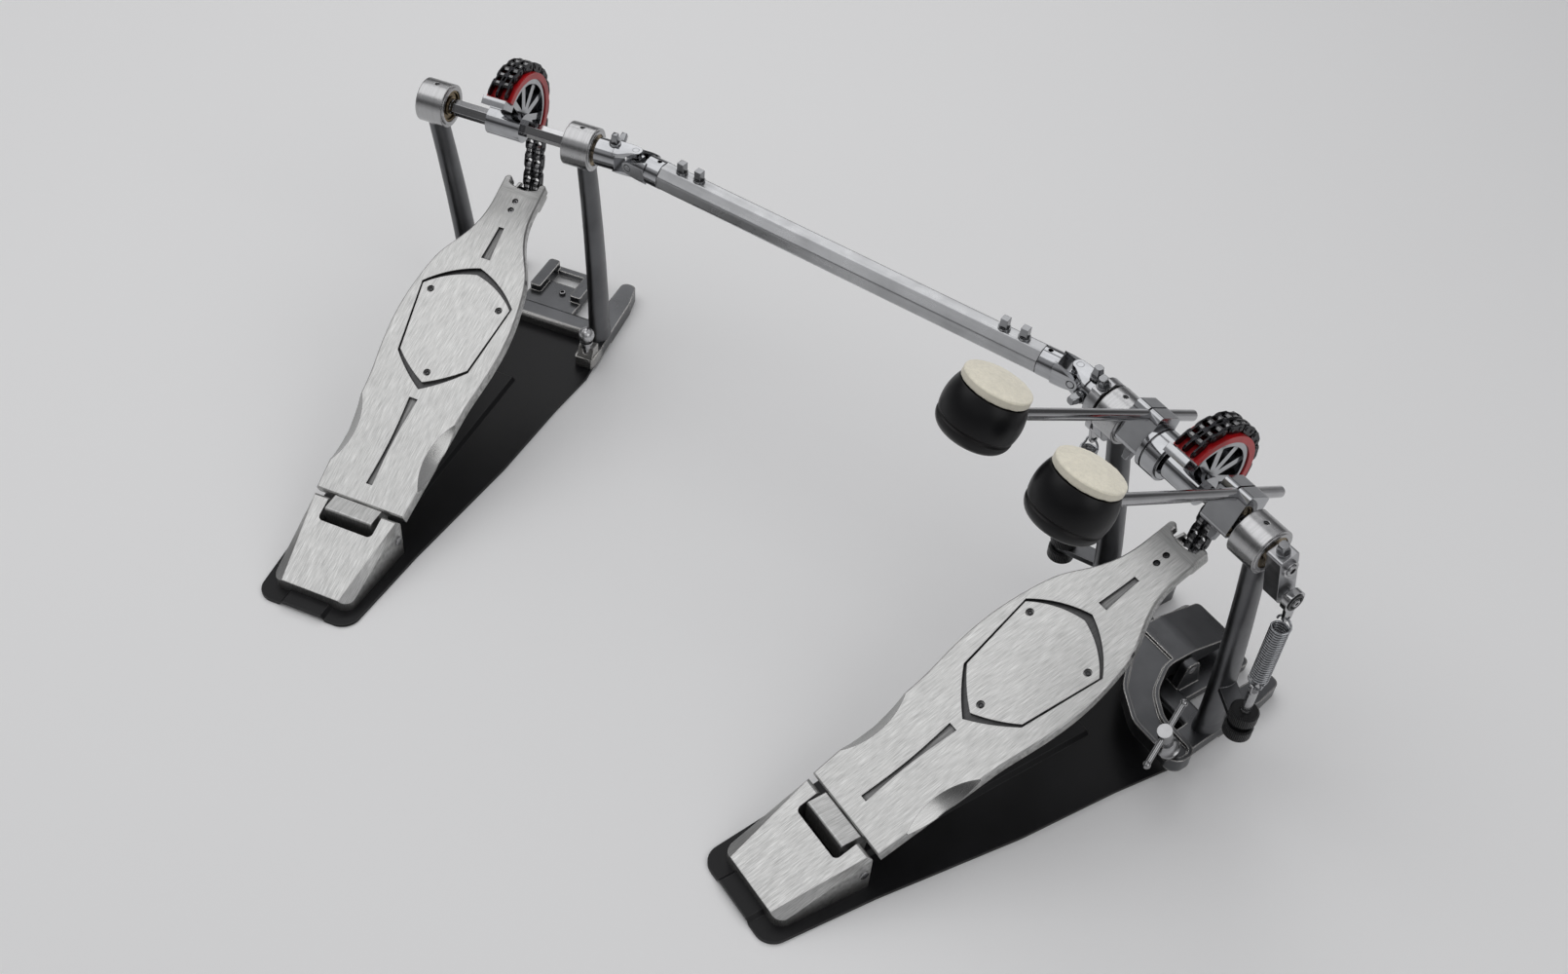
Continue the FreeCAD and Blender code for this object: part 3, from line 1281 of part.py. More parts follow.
save("second_axle", on_second(second_axle()))
second_yoke = moved(yoke(SECOND_JOINT_X - HOUSING_OUT - 3, RUN), SECOND_JOINT_X, 0, 0)
second_yoke = second_yoke.cut(disc(0, SECOND_JOINT_X - YOKE_BASE - 3, JOURNAL_R + SEAT))
save("second_joint_yoke", on_second(second_yoke))
second_cross = turned(cross(SHAFT_YAW - SECOND_YAW), ORIGIN, Z_AXIS, SECOND_YAW)
save("second_joint_cross", moved(second_cross, JOINT_A.x, JOINT_A.y, 0))
save("main_joint_cross", moved(cross(SHAFT_YAW), JOINT_B.x, JOINT_B.y, 0))
rod = shaft_rod()
far_rod = moved(turned(rod, ORIGIN, Z_AXIS, 180), SHAFT_L, 0, 0)
group("drive_shaft_rods", [on_shaft(rod), on_shaft(far_rod)])
save("drive_tube", on_shaft(drive_tube()))
group("drive_shaft_bolts", [on_shaft(tube_bolt(place)) for place in tube_bolts()])

hook = spring_hook()
save("main_spring_hook", hook)
save("left_spring_hook", mirrored(hook))
coil = spring()
save("main_spring", coil)
save("left_spring", mirrored(coil))
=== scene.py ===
import math

import bmesh
import bpy
from bpy.props import FloatProperty, FloatVectorProperty, IntProperty, PointerProperty
from mathutils import Matrix, Vector


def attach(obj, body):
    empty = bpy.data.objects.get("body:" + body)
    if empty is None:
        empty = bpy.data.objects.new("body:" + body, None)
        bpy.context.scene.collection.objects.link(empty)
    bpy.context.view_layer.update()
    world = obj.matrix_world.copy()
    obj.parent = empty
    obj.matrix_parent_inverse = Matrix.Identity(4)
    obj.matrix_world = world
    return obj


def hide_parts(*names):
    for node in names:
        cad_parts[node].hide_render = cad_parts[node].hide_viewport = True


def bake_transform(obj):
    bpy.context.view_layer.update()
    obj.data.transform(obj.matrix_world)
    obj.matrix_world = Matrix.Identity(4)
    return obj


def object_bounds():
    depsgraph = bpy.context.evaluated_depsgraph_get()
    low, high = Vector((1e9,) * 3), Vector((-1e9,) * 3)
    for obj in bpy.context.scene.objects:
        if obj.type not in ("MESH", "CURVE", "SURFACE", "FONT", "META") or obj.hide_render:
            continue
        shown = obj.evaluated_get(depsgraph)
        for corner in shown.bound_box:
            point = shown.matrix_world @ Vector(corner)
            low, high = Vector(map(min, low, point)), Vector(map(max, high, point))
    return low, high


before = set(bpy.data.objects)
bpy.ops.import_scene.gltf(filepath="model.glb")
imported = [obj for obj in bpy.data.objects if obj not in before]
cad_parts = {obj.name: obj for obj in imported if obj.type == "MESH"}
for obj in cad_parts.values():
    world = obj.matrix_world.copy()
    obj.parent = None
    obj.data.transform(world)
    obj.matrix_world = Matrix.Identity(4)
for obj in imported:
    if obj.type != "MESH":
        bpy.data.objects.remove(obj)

bl_info = {
    "name": "Double Bass Drum Pedal",
    "version": (1, 0, 0),
    "blender": (4, 5, 0),
    "location": "3D View > Sidebar > Pedal",
    "description": "Finishes, soft pieces, small screws and a studio for a double bass drum pedal",
    "category": "Object",
}

CAD_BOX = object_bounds()

# Places of the two pedals, the drive shaft and the boards, in metres
SLOPE = math.radians(24.038)
MAIN = Matrix.Identity(4)
SECOND = Matrix.Translation((-0.560, -0.200, 0)) @ Matrix.Rotation(math.radians(34), 4, "Z")
SHAFT = Matrix.Translation((-0.47046, -0.13961, 0)) @ Matrix.Rotation(math.radians(21.33), 4, "Z")
BOARD = Matrix.Translation((0, -0.25298, 0.038)) @ Matrix.Rotation(SLOPE, 4, "X")
AXLE_Z = 0.226
ROD_RISE = math.radians(25.3)
MAIN_ROD_X = 0.036
LEFT_ROD_X = -0.0465
HEAD_AT = -0.179
FELT_SEAT = 0.0337
SPRING_X = 0.0945
SPRING_Y = 0.009
BEARING_Z = 0.196
WHEEL_HALF = 0.0034
SPUR_X = 0.063
SPUR_Z = 0.035
SHELF_SPOT = (0.0043, 0.068, 0.008)
CLAMP_TILT = math.radians(22)
CLAMP_AT = Vector((0.071, -0.021, 0.021))
CLAMP_WAY = Vector((0, -math.sin(CLAMP_TILT), math.cos(CLAMP_TILT)))
BELL_SEAT = 0.0157
BELL_RIM = 0.0024
HOUSING_TOP = 0.017
HOUSING_X = 0.063
LEFT_HOUSING_X = -0.0685
YOKE_X = 0.0905
YOKE_TOP = 0.0107
YOKE_LEAN = math.radians(62)
UP = Vector((0, 0, 1))
HEAD_TURN = Matrix.Rotation(-ROD_RISE, 4, "X")
FELT_PLACE = Matrix.Translation((0, 0, AXLE_Z)) @ HEAD_TURN @ Matrix.Translation((0, HEAD_AT, FELT_SEAT))

# Marks on the boards: across, along and above the tread
PLATE_SEAT = -0.0014
TOE_SEAT = -0.0025
TOE_FROM = 0.2845
SHIELD_FROM = 0.097
SHIELD_TO = 0.216
SHIELD_HALF = 0.0405
SLOT_HALF = 0.006
SUNK_FROM = 0.0008
SUNK_TO = 0.0045
SCOOP_R = 0.0786
SCOOP_X = 0.0876
SCOOP_U = 0.051
SCOOP_N = 0.0546
PLATE_SCREWS = {"right": (0.0304, 0.1836), "left": (-0.0304, 0.1836), "heel": (0, 0.116)}
TOE_SCREWS = {"rear": 0.270, "front": 0.2785}

# Marks on other pieces, for their finishes and for painted highlight and shade
HOUSING_EDGE = 0.0176
BOSS_FROM = 0.0545
BOSS_TO = 0.013
BOSS_LOW = 0.004
BAR_HALF = 0.052
BAR_FRONT = 0.0285
BAR_LOW = 0.003
BEARING_PIN = 0.0031
ROLLER_FROM = 0.0019
ROLLER_TO = 0.0055
THREAD_LOW = 0.042
THREAD_TOP = 0.0835
THREAD_PITCH = 0.001
KNOB_RIM = 0.0088
KNURL_RIBS = 48.0
FELT_SIDE = 0.0053

# Lengths of brush marks, as noise scales across, along and above the piece
FINE_STREAKS = (3800, 110, 240)
LONG_STREAKS = (2000, 45, 160)
CROSS_STREAKS = (60, 1900, 300)

# Colours of painted shade in corners and recesses, of edges that are partly wear and partly painted
# highlight, of painted highlights on knurl crests, of the felt's flecks and of black screws
ALLOY_CORNER_SHADE = (0.012, 0.012, 0.012)
METAL_CORNER_SHADE = (0.015, 0.015, 0.016)
RECESS_SHADE = (0.05, 0.05, 0.052)
CASTING_WEAR_AND_HIGHLIGHT = (0.74, 0.72, 0.69)
RED_WEAR_AND_HIGHLIGHT = (0.65, 0.06, 0.05)
KNURL_TIP_HIGHLIGHT = (0.08, 0.08, 0.082)
FELT_FLECK = (0.45, 0.38, 0.25)
SCREW_BLACK = (0.05, 0.05, 0.052)
SCREW_WEAR_AND_HIGHLIGHT = (0.3, 0.3, 0.3)
SET_SCREW_WEAR_AND_HIGHLIGHT = (0.40, 0.40, 0.40)
SHEET_WEAR_AND_HIGHLIGHT = (0.16, 0.16, 0.16)
HEAD_WEAR_AND_HIGHLIGHT = (0.06, 0.05, 0.045)

# Points in a turn of a spring and in its end loop
TURN_STEPS = 24
LOOP_STEPS = 16

# Heights of screw heads, and how far a set screw is sunk
PLATE_HEAD = 0.0009
TOE_HEAD = 0.0014
SET_HEAD = 0.0014
SET_SUNK = 0.0024
END_HEAD = 0.0012
SHELF_HEAD = 0.0026
PIN_HEAD = 0.0007
PIN_R = 0.0028

# Key bolts of the second yoke
WASHER_R = 0.0046
WASHER_T = 0.0016
KEY_HEAD = 0.0056
KEY_RISE = 0.0019

# The photo's camera, the floor and the spot that the lights face
CAMERA_AT = (0.4773, -0.6982, 1.0008)
CAMERA_TURN = math.radians(-52.35)
CAMERA_RISE = math.radians(45.51)
CAMERA_ROLL = math.radians(5.59)
FLOOR_SIZE = 80
AIM = Vector((-0.27, -0.12, 0.08))


class PedalSizes(bpy.types.PropertyGroup):
    """Sizes of the pieces that are added to the frame"""

    felt_radius: FloatProperty(
        name="Felt radius", description="Radius of a beater's felt pad", default=0.0225, unit="LENGTH")
    felt_thickness: FloatProperty(
        name="Felt thickness", description="Thickness of a beater's felt pad",
        default=0.0065, unit="LENGTH")
    felt_edge: FloatProperty(
        name="Felt edge", description="How far the felt's upper edge is rounded",
        default=0.0012, unit="LENGTH")
    spring_radius: FloatProperty(
        name="Spring radius", description="Radius to the middle of the spring's wire",
        default=0.0059, unit="LENGTH")
    spring_wire: FloatProperty(
        name="Spring wire", description="Radius of the spring's wire", default=0.00085, unit="LENGTH")
    spring_turns: IntProperty(
        name="Spring turns", description="Turns of the closed part of a spring", default=23, min=22, max=28)
    spring_low: FloatProperty(
        name="Coil bottom", description="Height of the lowest turn", default=0.1165, unit="LENGTH")
    spring_high: FloatProperty(
        name="Coil top", description="Height of the highest turn", default=0.169, unit="LENGTH")
    spring_bend: FloatProperty(
        name="Loop bend", description="Bend between a spring's coil and its end loop",
        default=0.0022, unit="LENGTH")
    plate_screw: FloatProperty(
        name="Plate screw", description="Head radius of the shield plate's screws",
        default=0.0020, unit="LENGTH")
    toe_screw: FloatProperty(
        name="Toe screw", description="Head radius of the screws at the toe", default=0.0019, unit="LENGTH")
    set_screw: FloatProperty(
        name="Set screw", description="Radius of the set screws in the bearing housings",
        default=0.00172, unit="LENGTH")
    spur_knob: FloatProperty(
        name="Spur knob", description="Radius of the round knobs on the spur screws",
        default=0.0068, unit="LENGTH")
    clamp_bell: FloatProperty(
        name="Clamp bell", description="Radius of the bell under the clamp's T-bar",
        default=0.0088, unit="LENGTH")
    shelf_screw: FloatProperty(
        name="Shelf screw", description="Head radius of the screw on the casting's shelf",
        default=0.0030, unit="LENGTH")
    end_screw: FloatProperty(
        name="Axle end screw", description="Head radius of the screw at the main axle's end",
        default=0.0044, unit="LENGTH")


class PedalColours(bpy.types.PropertyGroup):
    """Colours of the finishes"""

    alloy: FloatVectorProperty(
        name="Alloy", description="Brushed aluminium", subtype="COLOR", default=(0.55, 0.55, 0.542))
    casting: FloatVectorProperty(
        name="Casting", description="Dark cast front", subtype="COLOR", default=(0.105, 0.107, 0.112))
    post: FloatVectorProperty(
        name="Posts", description="Grey satin posts", subtype="COLOR", default=(0.13, 0.132, 0.138))
    # Housings, chrome, steel, drive tube and bronze are set darker than the bare metals, as painted shade for
    # the dark surroundings they reflect
    housing: FloatVectorProperty(
        name="Housings", description="Machined bearing housings",
        subtype="COLOR", default=(0.44, 0.44, 0.445))
    chrome: FloatVectorProperty(
        name="Chrome", description="Plated joints, cams and bolts",
        subtype="COLOR", default=(0.44, 0.447, 0.462))
    steel: FloatVectorProperty(
        name="Steel", description="Polished rods and axles", subtype="COLOR", default=(0.50, 0.50, 0.51))
    tube: FloatVectorProperty(
        name="Drive tube", description="Satin drive tube", subtype="COLOR", default=(0.44, 0.445, 0.455))
    bronze: FloatVectorProperty(
        name="Bronze", description="Bearing bronze", subtype="COLOR", default=(0.22, 0.165, 0.09))
    black: FloatVectorProperty(
        name="Black", description="Black base plates, knobs and heads",
        subtype="COLOR", default=(0.008, 0.008, 0.009))
    red: FloatVectorProperty(
        name="Cam insert", description="Red chain bed of the cams",
        subtype="COLOR", default=(0.46, 0.004, 0.008))
    felt: FloatVectorProperty(
        name="Felt", description="Cream wool felt", subtype="COLOR", default=(0.92, 0.87, 0.725))
    zinc: FloatVectorProperty(
        name="Springs", description="Zinc-plated spring wire", subtype="COLOR", default=(0.43, 0.44, 0.46))
    floor: FloatVectorProperty(
        name="Floor", description="Pale studio floor", subtype="COLOR", default=(0.90, 0.90, 0.90))


class PedalStudio(bpy.types.PropertyGroup):
    """Camera and lights"""

    lens: FloatProperty(
        name="Lens", description="Focal length on a 36 mm wide sensor",
        default=39.64, subtype="DISTANCE_CAMERA")
    key: FloatProperty(
        name="Key light", description="Power of the large soft light over the boards",
        default=12, subtype="POWER")
    fill: FloatProperty(
        name="Fill light", description="Power of the soft light from the right", default=5, subtype="POWER")
    rim: FloatProperty(
        name="Rim light", description="Power of the soft light from behind", default=6, subtype="POWER")


# Shader values and materials

class Value:
    """A shader socket; arithmetic on it adds Math nodes"""

    def __init__(self, nodes, socket):
        self.nodes = nodes
        self.socket = socket

    def __add__(self, other):
        return self.nodes.math("ADD", self, other)

    def __sub__(self, other):
        return self.nodes.math("SUBTRACT", self, other)

    def __rsub__(self, other):
        return self.nodes.math("SUBTRACT", other, self)

    def __mul__(self, other):
        return self.nodes.math("MULTIPLY", self, other)

    def __neg__(self):
        return self.nodes.math("MULTIPLY", self, -1.0)

    def __abs__(self):
        return self.nodes.math("ABSOLUTE", self)

    __radd__ = __add__
    __rmul__ = __mul__


class Finish:
    """A procedural material on Object coordinates"""

    def __init__(self, name, constants):
        self.material = bpy.data.materials.new(name)
        self.material.use_nodes = True
        self.tree = self.material.node_tree
        self.shader = self.tree.nodes["Principled BSDF"]
        for socket, value in constants.items():
            self.shader.inputs[socket].default_value = value

    def node(self, kind, settings, sockets, out=0):
        made = self.tree.nodes.new(kind)
        for key, value in settings.items():
            setattr(made, key, value)
        for key, value in sockets.items():
            self.feed(made.inputs[key], value)
        return Value(self, made.outputs[out])

    def feed(self, socket, value):
        if isinstance(value, Value):
            self.tree.links.new(value.socket, socket)
        else:
            socket.default_value = value

    def shade(self, sockets):
        for key, value in sockets.items():
            self.feed(self.shader.inputs[key], value)
        return self.material

    def math(self, operation, a, b=0.0):
        return self.node("ShaderNodeMath", {"operation": operation}, {0: a, 1: b})

    def local(self, place):
        coords = self.node("ShaderNodeTexCoord", {}, {}, "Object")
        sockets = {"Vector": coords, "Location": place.translation, "Rotation": place.to_euler("XYZ")}
        return self.node("ShaderNodeMapping", {"vector_type": "TEXTURE"}, sockets)

    def axes(self, at, names="XYZ"):
        return [self.node("ShaderNodeSeparateXYZ", {}, {"Vector": at}, axis) for axis in names]

    def noise(self, at, scale, detail):
        stretched = self.node("ShaderNodeVectorMath", {"operation": "MULTIPLY"}, {0: at, 1: scale})
        return self.node("ShaderNodeTexNoise", {}, {"Vector": stretched, "Scale": 1.0, "Detail": detail})

    def step(self, value, edge, soft):
        sockets = {"Value": value, "From Min": edge - soft, "From Max": edge + soft}
        return self.node("ShaderNodeMapRange", {"interpolation_type": "SMOOTHSTEP"}, sockets)

    def within(self, value, low, high, soft):
        return self.step(value, low, soft) * (1 - self.step(value, high, soft))

    def span(self, value, low, high):
        return self.node("ShaderNodeMapRange", {}, {"Value": value, "From Min": low, "From Max": high})

    def distance(self, a, b, a0, b0):
        return self.math("SQRT", (a - a0) * (a - a0) + (b - b0) * (b - b0))

    def mix(self, share, a, b):
        return self.node("ShaderNodeMix", {"data_type": "RGBA"}, {0: share, 6: tint(a), 7: tint(b)}, 2)

    def rounded(self, radius):
        return self.node("ShaderNodeBevel", {"samples": 6}, {"Radius": radius})

    # Mask of rounded edges; the finishes lighten them, partly as wear and partly as painted highlight
    def edges(self, radius):
        face = self.node("ShaderNodeNewGeometry", {}, {}, "Normal")
        sockets = {0: face, 1: self.rounded(radius)}
        along = self.node("ShaderNodeVectorMath", {"operation": "DOT_PRODUCT"}, sockets, "Value")
        return self.span(1 - along, 0.01, 0.14)

    # Ambient occlusion mask of corners and gaps, used for painted shade
    def cavity_shade(self, distance):
        settings = {"samples": 6, "only_local": True}
        open_share = self.node("ShaderNodeAmbientOcclusion", settings, {"Distance": distance}, "AO")
        return self.span(1 - open_share, 0.10, 0.55)

    def bump(self, height, strength, distance, normal):
        sockets = {"Height": height, "Strength": strength, "Distance": distance, "Normal": normal}
        return self.node("ShaderNodeBump", {}, sockets)


def tint(colour, share=1.0):
    """A colour for a socket, made lighter or darker by a share; a link goes through"""
    if isinstance(colour, Value):
        return colour
    return tuple(min(1.0, c * share) for c in tuple(colour)[:3]) + (1.0,)


def brushed_alloy(name, place, colour, board):
    """Aluminium with short brush marks and edges lightened as wear and painted highlight; a board's toe is
    brushed across, and corners, recesses and the toe are darkened as painted shade, while the scoops carry a
    painted reflection
    """
    f = Finish(name, {"Metallic": 1.0})
    at = f.local(place)
    streak = f.noise(at, FINE_STREAKS, 3) * 0.6 + f.noise(at, LONG_STREAKS, 2) * 0.4
    if board:
        x, u, n = f.axes(at)
        toe = f.step(u, TOE_FROM, 0.002)
        streak = streak * (1 - toe) + f.noise(at, CROSS_STREAKS, 3) * toe
    cloud = f.noise(at, (13, 7, 13), 2)
    bright = f.span(streak * 0.94 + cloud * 0.06, 0.36, 0.64)
    tone = f.mix(bright, tint(colour, 0.60), tint(colour, 1.10))
    rough = 0.40 - bright * 0.1 + cloud * 0.08
    # Edges lightened, partly as wear and partly as painted highlight
    tone = f.mix(f.edges(0.0006) * 0.6, tone, tint(colour, 1.4))
    # Painted shade: corners and gaps darkened
    tone = f.mix(f.cavity_shade(0.003) * 0.9, tone, ALLOY_CORNER_SHADE)
    if board:
        # Painted shade: the toe is darkened
        tone = f.mix(toe * 0.35, tone, tint(colour, 0.45))
        # Painted shade: the floors and walls of the slot and the shield recess are darkened
        deep = f.step(-n, SUNK_FROM, 0.0002) * (1 - f.step(-n, SUNK_TO, 0.0003))
        shield = f.within(u, SHIELD_FROM, SHIELD_TO, 0.0005) * (1 - f.step(abs(x), SHIELD_HALF, 0.0003))
        slot = (1 - f.step(abs(x), SLOT_HALF, 0.0005)) * (1 - toe)
        sunk_shade = deep * f.math("MAXIMUM", shield * 0.9, slot * 0.62)
        tone = f.mix(sunk_shade, tone, RECESS_SHADE)
        # Painted reflection: the scoops are darkened for the dark reflections on their smooth faces
        side = abs(x) - SCOOP_X
        ahead = u - SCOOP_U
        above = n - SCOOP_N
        reach = f.math("SQRT", side * side + ahead * ahead + above * above)
        scoop = 1 - f.step(abs(reach - SCOOP_R), 0.0003, 0.0001)
        tone = f.mix(scoop * 0.85, tone, tint(colour, 0.8))
        rough = rough + sunk_shade * 0.12 - scoop * 0.16
    normal = f.bump(streak, 0.14, 0.00015, f.rounded(0.0007))
    return f.shade({"Base Color": tone, "Roughness": rough, "Normal": normal})


def plain_metal(name, colour, rough, place=MAIN, lines=(90, 90, 90), marks_depth=0.05, wear_and_highlight=0.35, nook=0.004):
    """Metal with faint clouding, tool marks in a chosen direction, edges lightened as wear and painted
    highlight, and corners darkened as painted shade
    """
    f = Finish(name, {"Metallic": 1.0})
    at = f.local(place)
    cloud = f.noise(at, (55, 55, 55), 3)
    marks = f.noise(at, lines, 2)
    mottle = f.span(cloud * 0.6 + marks * 0.4, 0.3, 0.7)
    tone = f.mix(mottle, tint(colour, 0.80), tint(colour, 1.06))
    edge = f.edges(0.0005)
    # Edges lightened, partly as wear and partly as painted highlight
    tone = f.mix(edge * wear_and_highlight, tone, tint(colour, 1.45))
    # Painted shade: corners and gaps darkened
    tone = f.mix(f.cavity_shade(nook) * 0.85, tone, METAL_CORNER_SHADE)
    gloss = rough * (1.25 - mottle * 0.5) + edge * 0.05
    normal = f.bump(marks, marks_depth, 0.0001, f.rounded(0.0005))
    return f.shade({"Base Color": tone, "Roughness": gloss, "Normal": normal})


def bolt_nickel(name, chrome):
    """Nickel of the key bolts, darkened as painted shade, with edges lightened as wear and painted highlight
    """
    return plain_metal(name, tint(chrome, 0.62), 0.12, marks_depth=0.03, wear_and_highlight=0.7)


def coated(name, colour, rough, grain, wear_and_highlight_colour, wear_and_highlight, metallic=0.0, shine=0.5, depth=0.18):
    """Painted, cast or moulded skin with a fine grain; its edges are lightened to another colour, partly as
    wear and partly as painted highlight
    """
    f = Finish(name, {"Metallic": metallic, "Specular IOR Level": shine})
    at = f.local(MAIN)
    cloud = f.noise(at, (28, 28, 28), 3)
    pebble = f.noise(at, (grain, grain, grain), 2)
    tone = f.mix(f.span(cloud, 0.3, 0.7), tint(colour, 0.78), tint(colour, 1.22))
    # Edges lightened, partly as wear and partly as painted highlight
    edge_wear_and_highlight = f.edges(0.0013) * f.span(f.noise(at, (70, 70, 70), 3), 0.1, 0.5) * wear_and_highlight
    tone = f.mix(edge_wear_and_highlight, tone, wear_and_highlight_colour)
    gloss = rough + (pebble - 0.5) * depth * 0.7 + (cloud - 0.5) * 0.1 - edge_wear_and_highlight * 0.08
    normal = f.bump(pebble, depth, 0.00012, f.rounded(0.0009))
    return f.shade({"Base Color": tone, "Roughness": gloss, "Normal": normal})


def cast_metal(name, place, colour, front_highlight):
    """Dark satin casting with bright rims, partly wear and partly painted highlight; the second pedal's
    bosses and bar carry a painted highlight in front
    """
    f = Finish(name, {"Metallic": 0.9})
    at = f.local(place)
    cloud = f.noise(at, (28, 28, 28), 3)
    tone = f.mix(f.span(cloud, 0.3, 0.7), tint(colour, 0.78), tint(colour, 1.22))
    # Rims lightened, partly as wear and partly as painted highlight
    bright = f.edges(0.0020) * f.span(f.noise(at, (70, 70, 70), 3), 0.1, 0.5) * 0.85
    # Painted highlight on the second casting's front bosses and bar
    if front_highlight:
        x, y, z = f.axes(at)
        boss = f.step(abs(x), BOSS_FROM, 0.0010) * (1 - f.step(y, BOSS_TO, 0.0040))
        boss = boss * f.step(z, BOSS_LOW, 0.0020)
        bar = (1 - f.step(abs(x), BAR_HALF, 0.0010)) * (1 - f.step(y, BAR_FRONT, 0.0012))
        bar = bar * f.step(z, BAR_LOW, 0.0020)
        bright = f.math("MAXIMUM", bright, boss * 0.55 + bar * 0.35)
    tone = f.mix(bright, tone, CASTING_WEAR_AND_HIGHLIGHT)
    rough = 0.28 + (cloud - 0.5) * 0.1 - bright * 0.06
    normal = f.bump(f.noise(at, (420, 420, 420), 2), 0.05, 0.00012, f.rounded(0.0012))
    return f.shade({"Base Color": tone, "Roughness": rough, "Normal": normal})


def post_metal(name, place, post, housing):
    """Grey satin posts whose bearing housings are turned bright"""
    f = Finish(name, {"Metallic": 1.0})
    at = f.local(place)
    y, z = f.axes(at, "YZ")
    turned = 1 - f.step(f.distance(y, z, 0.0, AXLE_Z), HOUSING_EDGE, 0.0002)
    rings = f.noise(at, (1600, 14, 14), 2)
    cast = f.noise(at, (320, 320, 320), 2)
    cloud = f.noise(at, (30, 30, 22), 3)
    dark = f.mix(f.span(cloud, 0.3, 0.7), tint(post, 0.8), tint(post, 1.12))
    light = f.mix(f.span(rings, 0.3, 0.7), tint(housing, 0.92), tint(housing, 1.06))
    tone = f.mix(turned, dark, light)
    # Edges lightened, partly as wear and partly as painted highlight
    tone = f.mix(f.edges(0.0007) * 0.55, tone, tint(housing, 1.2))
    rough = 0.36 + (cast - 0.5) * 0.12 - turned * 0.11
    height = cast * (1 - turned) * 0.6 + rings * turned * 0.4
    normal = f.bump(height, 0.12, 0.00012, f.rounded(0.0012))
    return f.shade({"Base Color": tone, "Roughness": rough, "Normal": normal})


def rocker_metal(name, colour, black, steel):
    """Plated rocker whose bearing is black with a steel screw"""
    f = Finish(name, {})
    at = f.local(MAIN)
    x, y, z = f.axes(at)
    ring = f.distance(y, z, SPRING_Y, BEARING_Z)
    bearing = f.step(abs(x), SPRING_X - WHEEL_HALF, 0.0001) * f.step(ring, BEARING_PIN, 0.0001)
    cloud = f.noise(at, (80, 80, 80), 3)
    metal = f.mix(f.span(cloud, 0.3, 0.7), tint(colour, 0.72), tint(steel, 1.02))
    # Edges lightened, partly as wear and partly as painted highlight
    tone = f.mix(f.edges(0.0005) * 0.4, f.mix(bearing, metal, black), tint(steel, 1.2))
    rough = 0.24 + cloud * 0.1 + bearing * 0.14
    normal = f.bump(f.noise(at, (500, 500, 500), 2), 0.06, 0.0001, f.rounded(0.0006))
    return f.shade({"Base Color": tone, "Metallic": 1 - bearing, "Roughness": rough, "Normal": normal})


def chain_metal(name, place, black, steel):
    """Blackened link plates; the rollers between them and the plate edges are painted brighter as highlights
    """
    f = Finish(name, {"Metallic": 1.0})
    at = f.local(place)
    across = abs(f.axes(at, "X")[0])
    # Painted highlight: the rollers get a brighter steel tone
    roller = f.within(across, ROLLER_FROM, ROLLER_TO, 0.0001)
    oil = f.noise(at, (260, 260, 260), 3)
    plates = f.mix(f.span(oil, 0.3, 0.7), tint(black, 1.4), tint(black, 4.0))
    rollers = f.mix(f.span(oil, 0.3, 0.7), tint(steel, 0.22), tint(steel, 0.5))
    # Painted highlight: plate edges lightened
    tone = f.mix(f.edges(0.0004) * 0.35, f.mix(roller, plates, rollers), tint(steel, 0.7))
    rough = 0.12 + oil * 0.16
    normal = f.bump(oil, 0.08, 0.0001, f.rounded(0.0004))
    return f.shade({"Base Color": tone, "Roughness": rough, "Normal": normal})


def cam_bed(name, colour):
    """Glossy moulded red insert"""
    f = Finish(name, {"Coat Weight": 0.25, "Coat Roughness": 0.10, "Specular IOR Level": 0.4})
    at = f.local(MAIN)
    cloud = f.noise(at, (60, 60, 60), 3)
    tone = f.mix(f.span(cloud, 0.3, 0.7), tint(colour, 0.72), tint(colour, 1.15))
    # Edges lightened, partly as wear and partly as painted highlight
    tone = f.mix(f.edges(0.0005) * 0.2, tone, RED_WEAR_AND_HIGHLIGHT)
    rough = 0.26 + cloud * 0.14
    normal = f.bump(f.noise(at, (900, 900, 900), 2), 0.07, 0.0001, f.rounded(0.0006))
    return f.shade({"Base Color": tone, "Roughness": rough, "Normal": normal})


def threaded_steel(name, colour):
    """Studs whose shanks carry a fine thread, its grooves darkened as painted shade"""
    f = Finish(name, {"Metallic": 1.0})
    at = f.local(MAIN)
    z = f.axes(at, "Z")[0]
    shank = f.within(z, THREAD_LOW, THREAD_TOP, 0.0003)
    thread = f.math("SINE", z * (2 * math.pi / THREAD_PITCH)) * shank
    cloud = f.noise(at, (90, 90, 90), 3)
    tone = f.mix(f.span(cloud, 0.3, 0.7), tint(colour, 0.8), tint(colour, 1.08))
    # Painted shade: the thread's grooves darkened
    tone = f.mix(f.span(-thread, 0.2, 1.0) * 0.55, tone, tint(colour, 0.25))
    rough = 0.2 + cloud * 0.12
    normal = f.bump(thread, 0.5, 0.00025, f.rounded(0.0004))
    return f.shade({"Base Color": tone, "Roughness": rough, "Normal": normal})


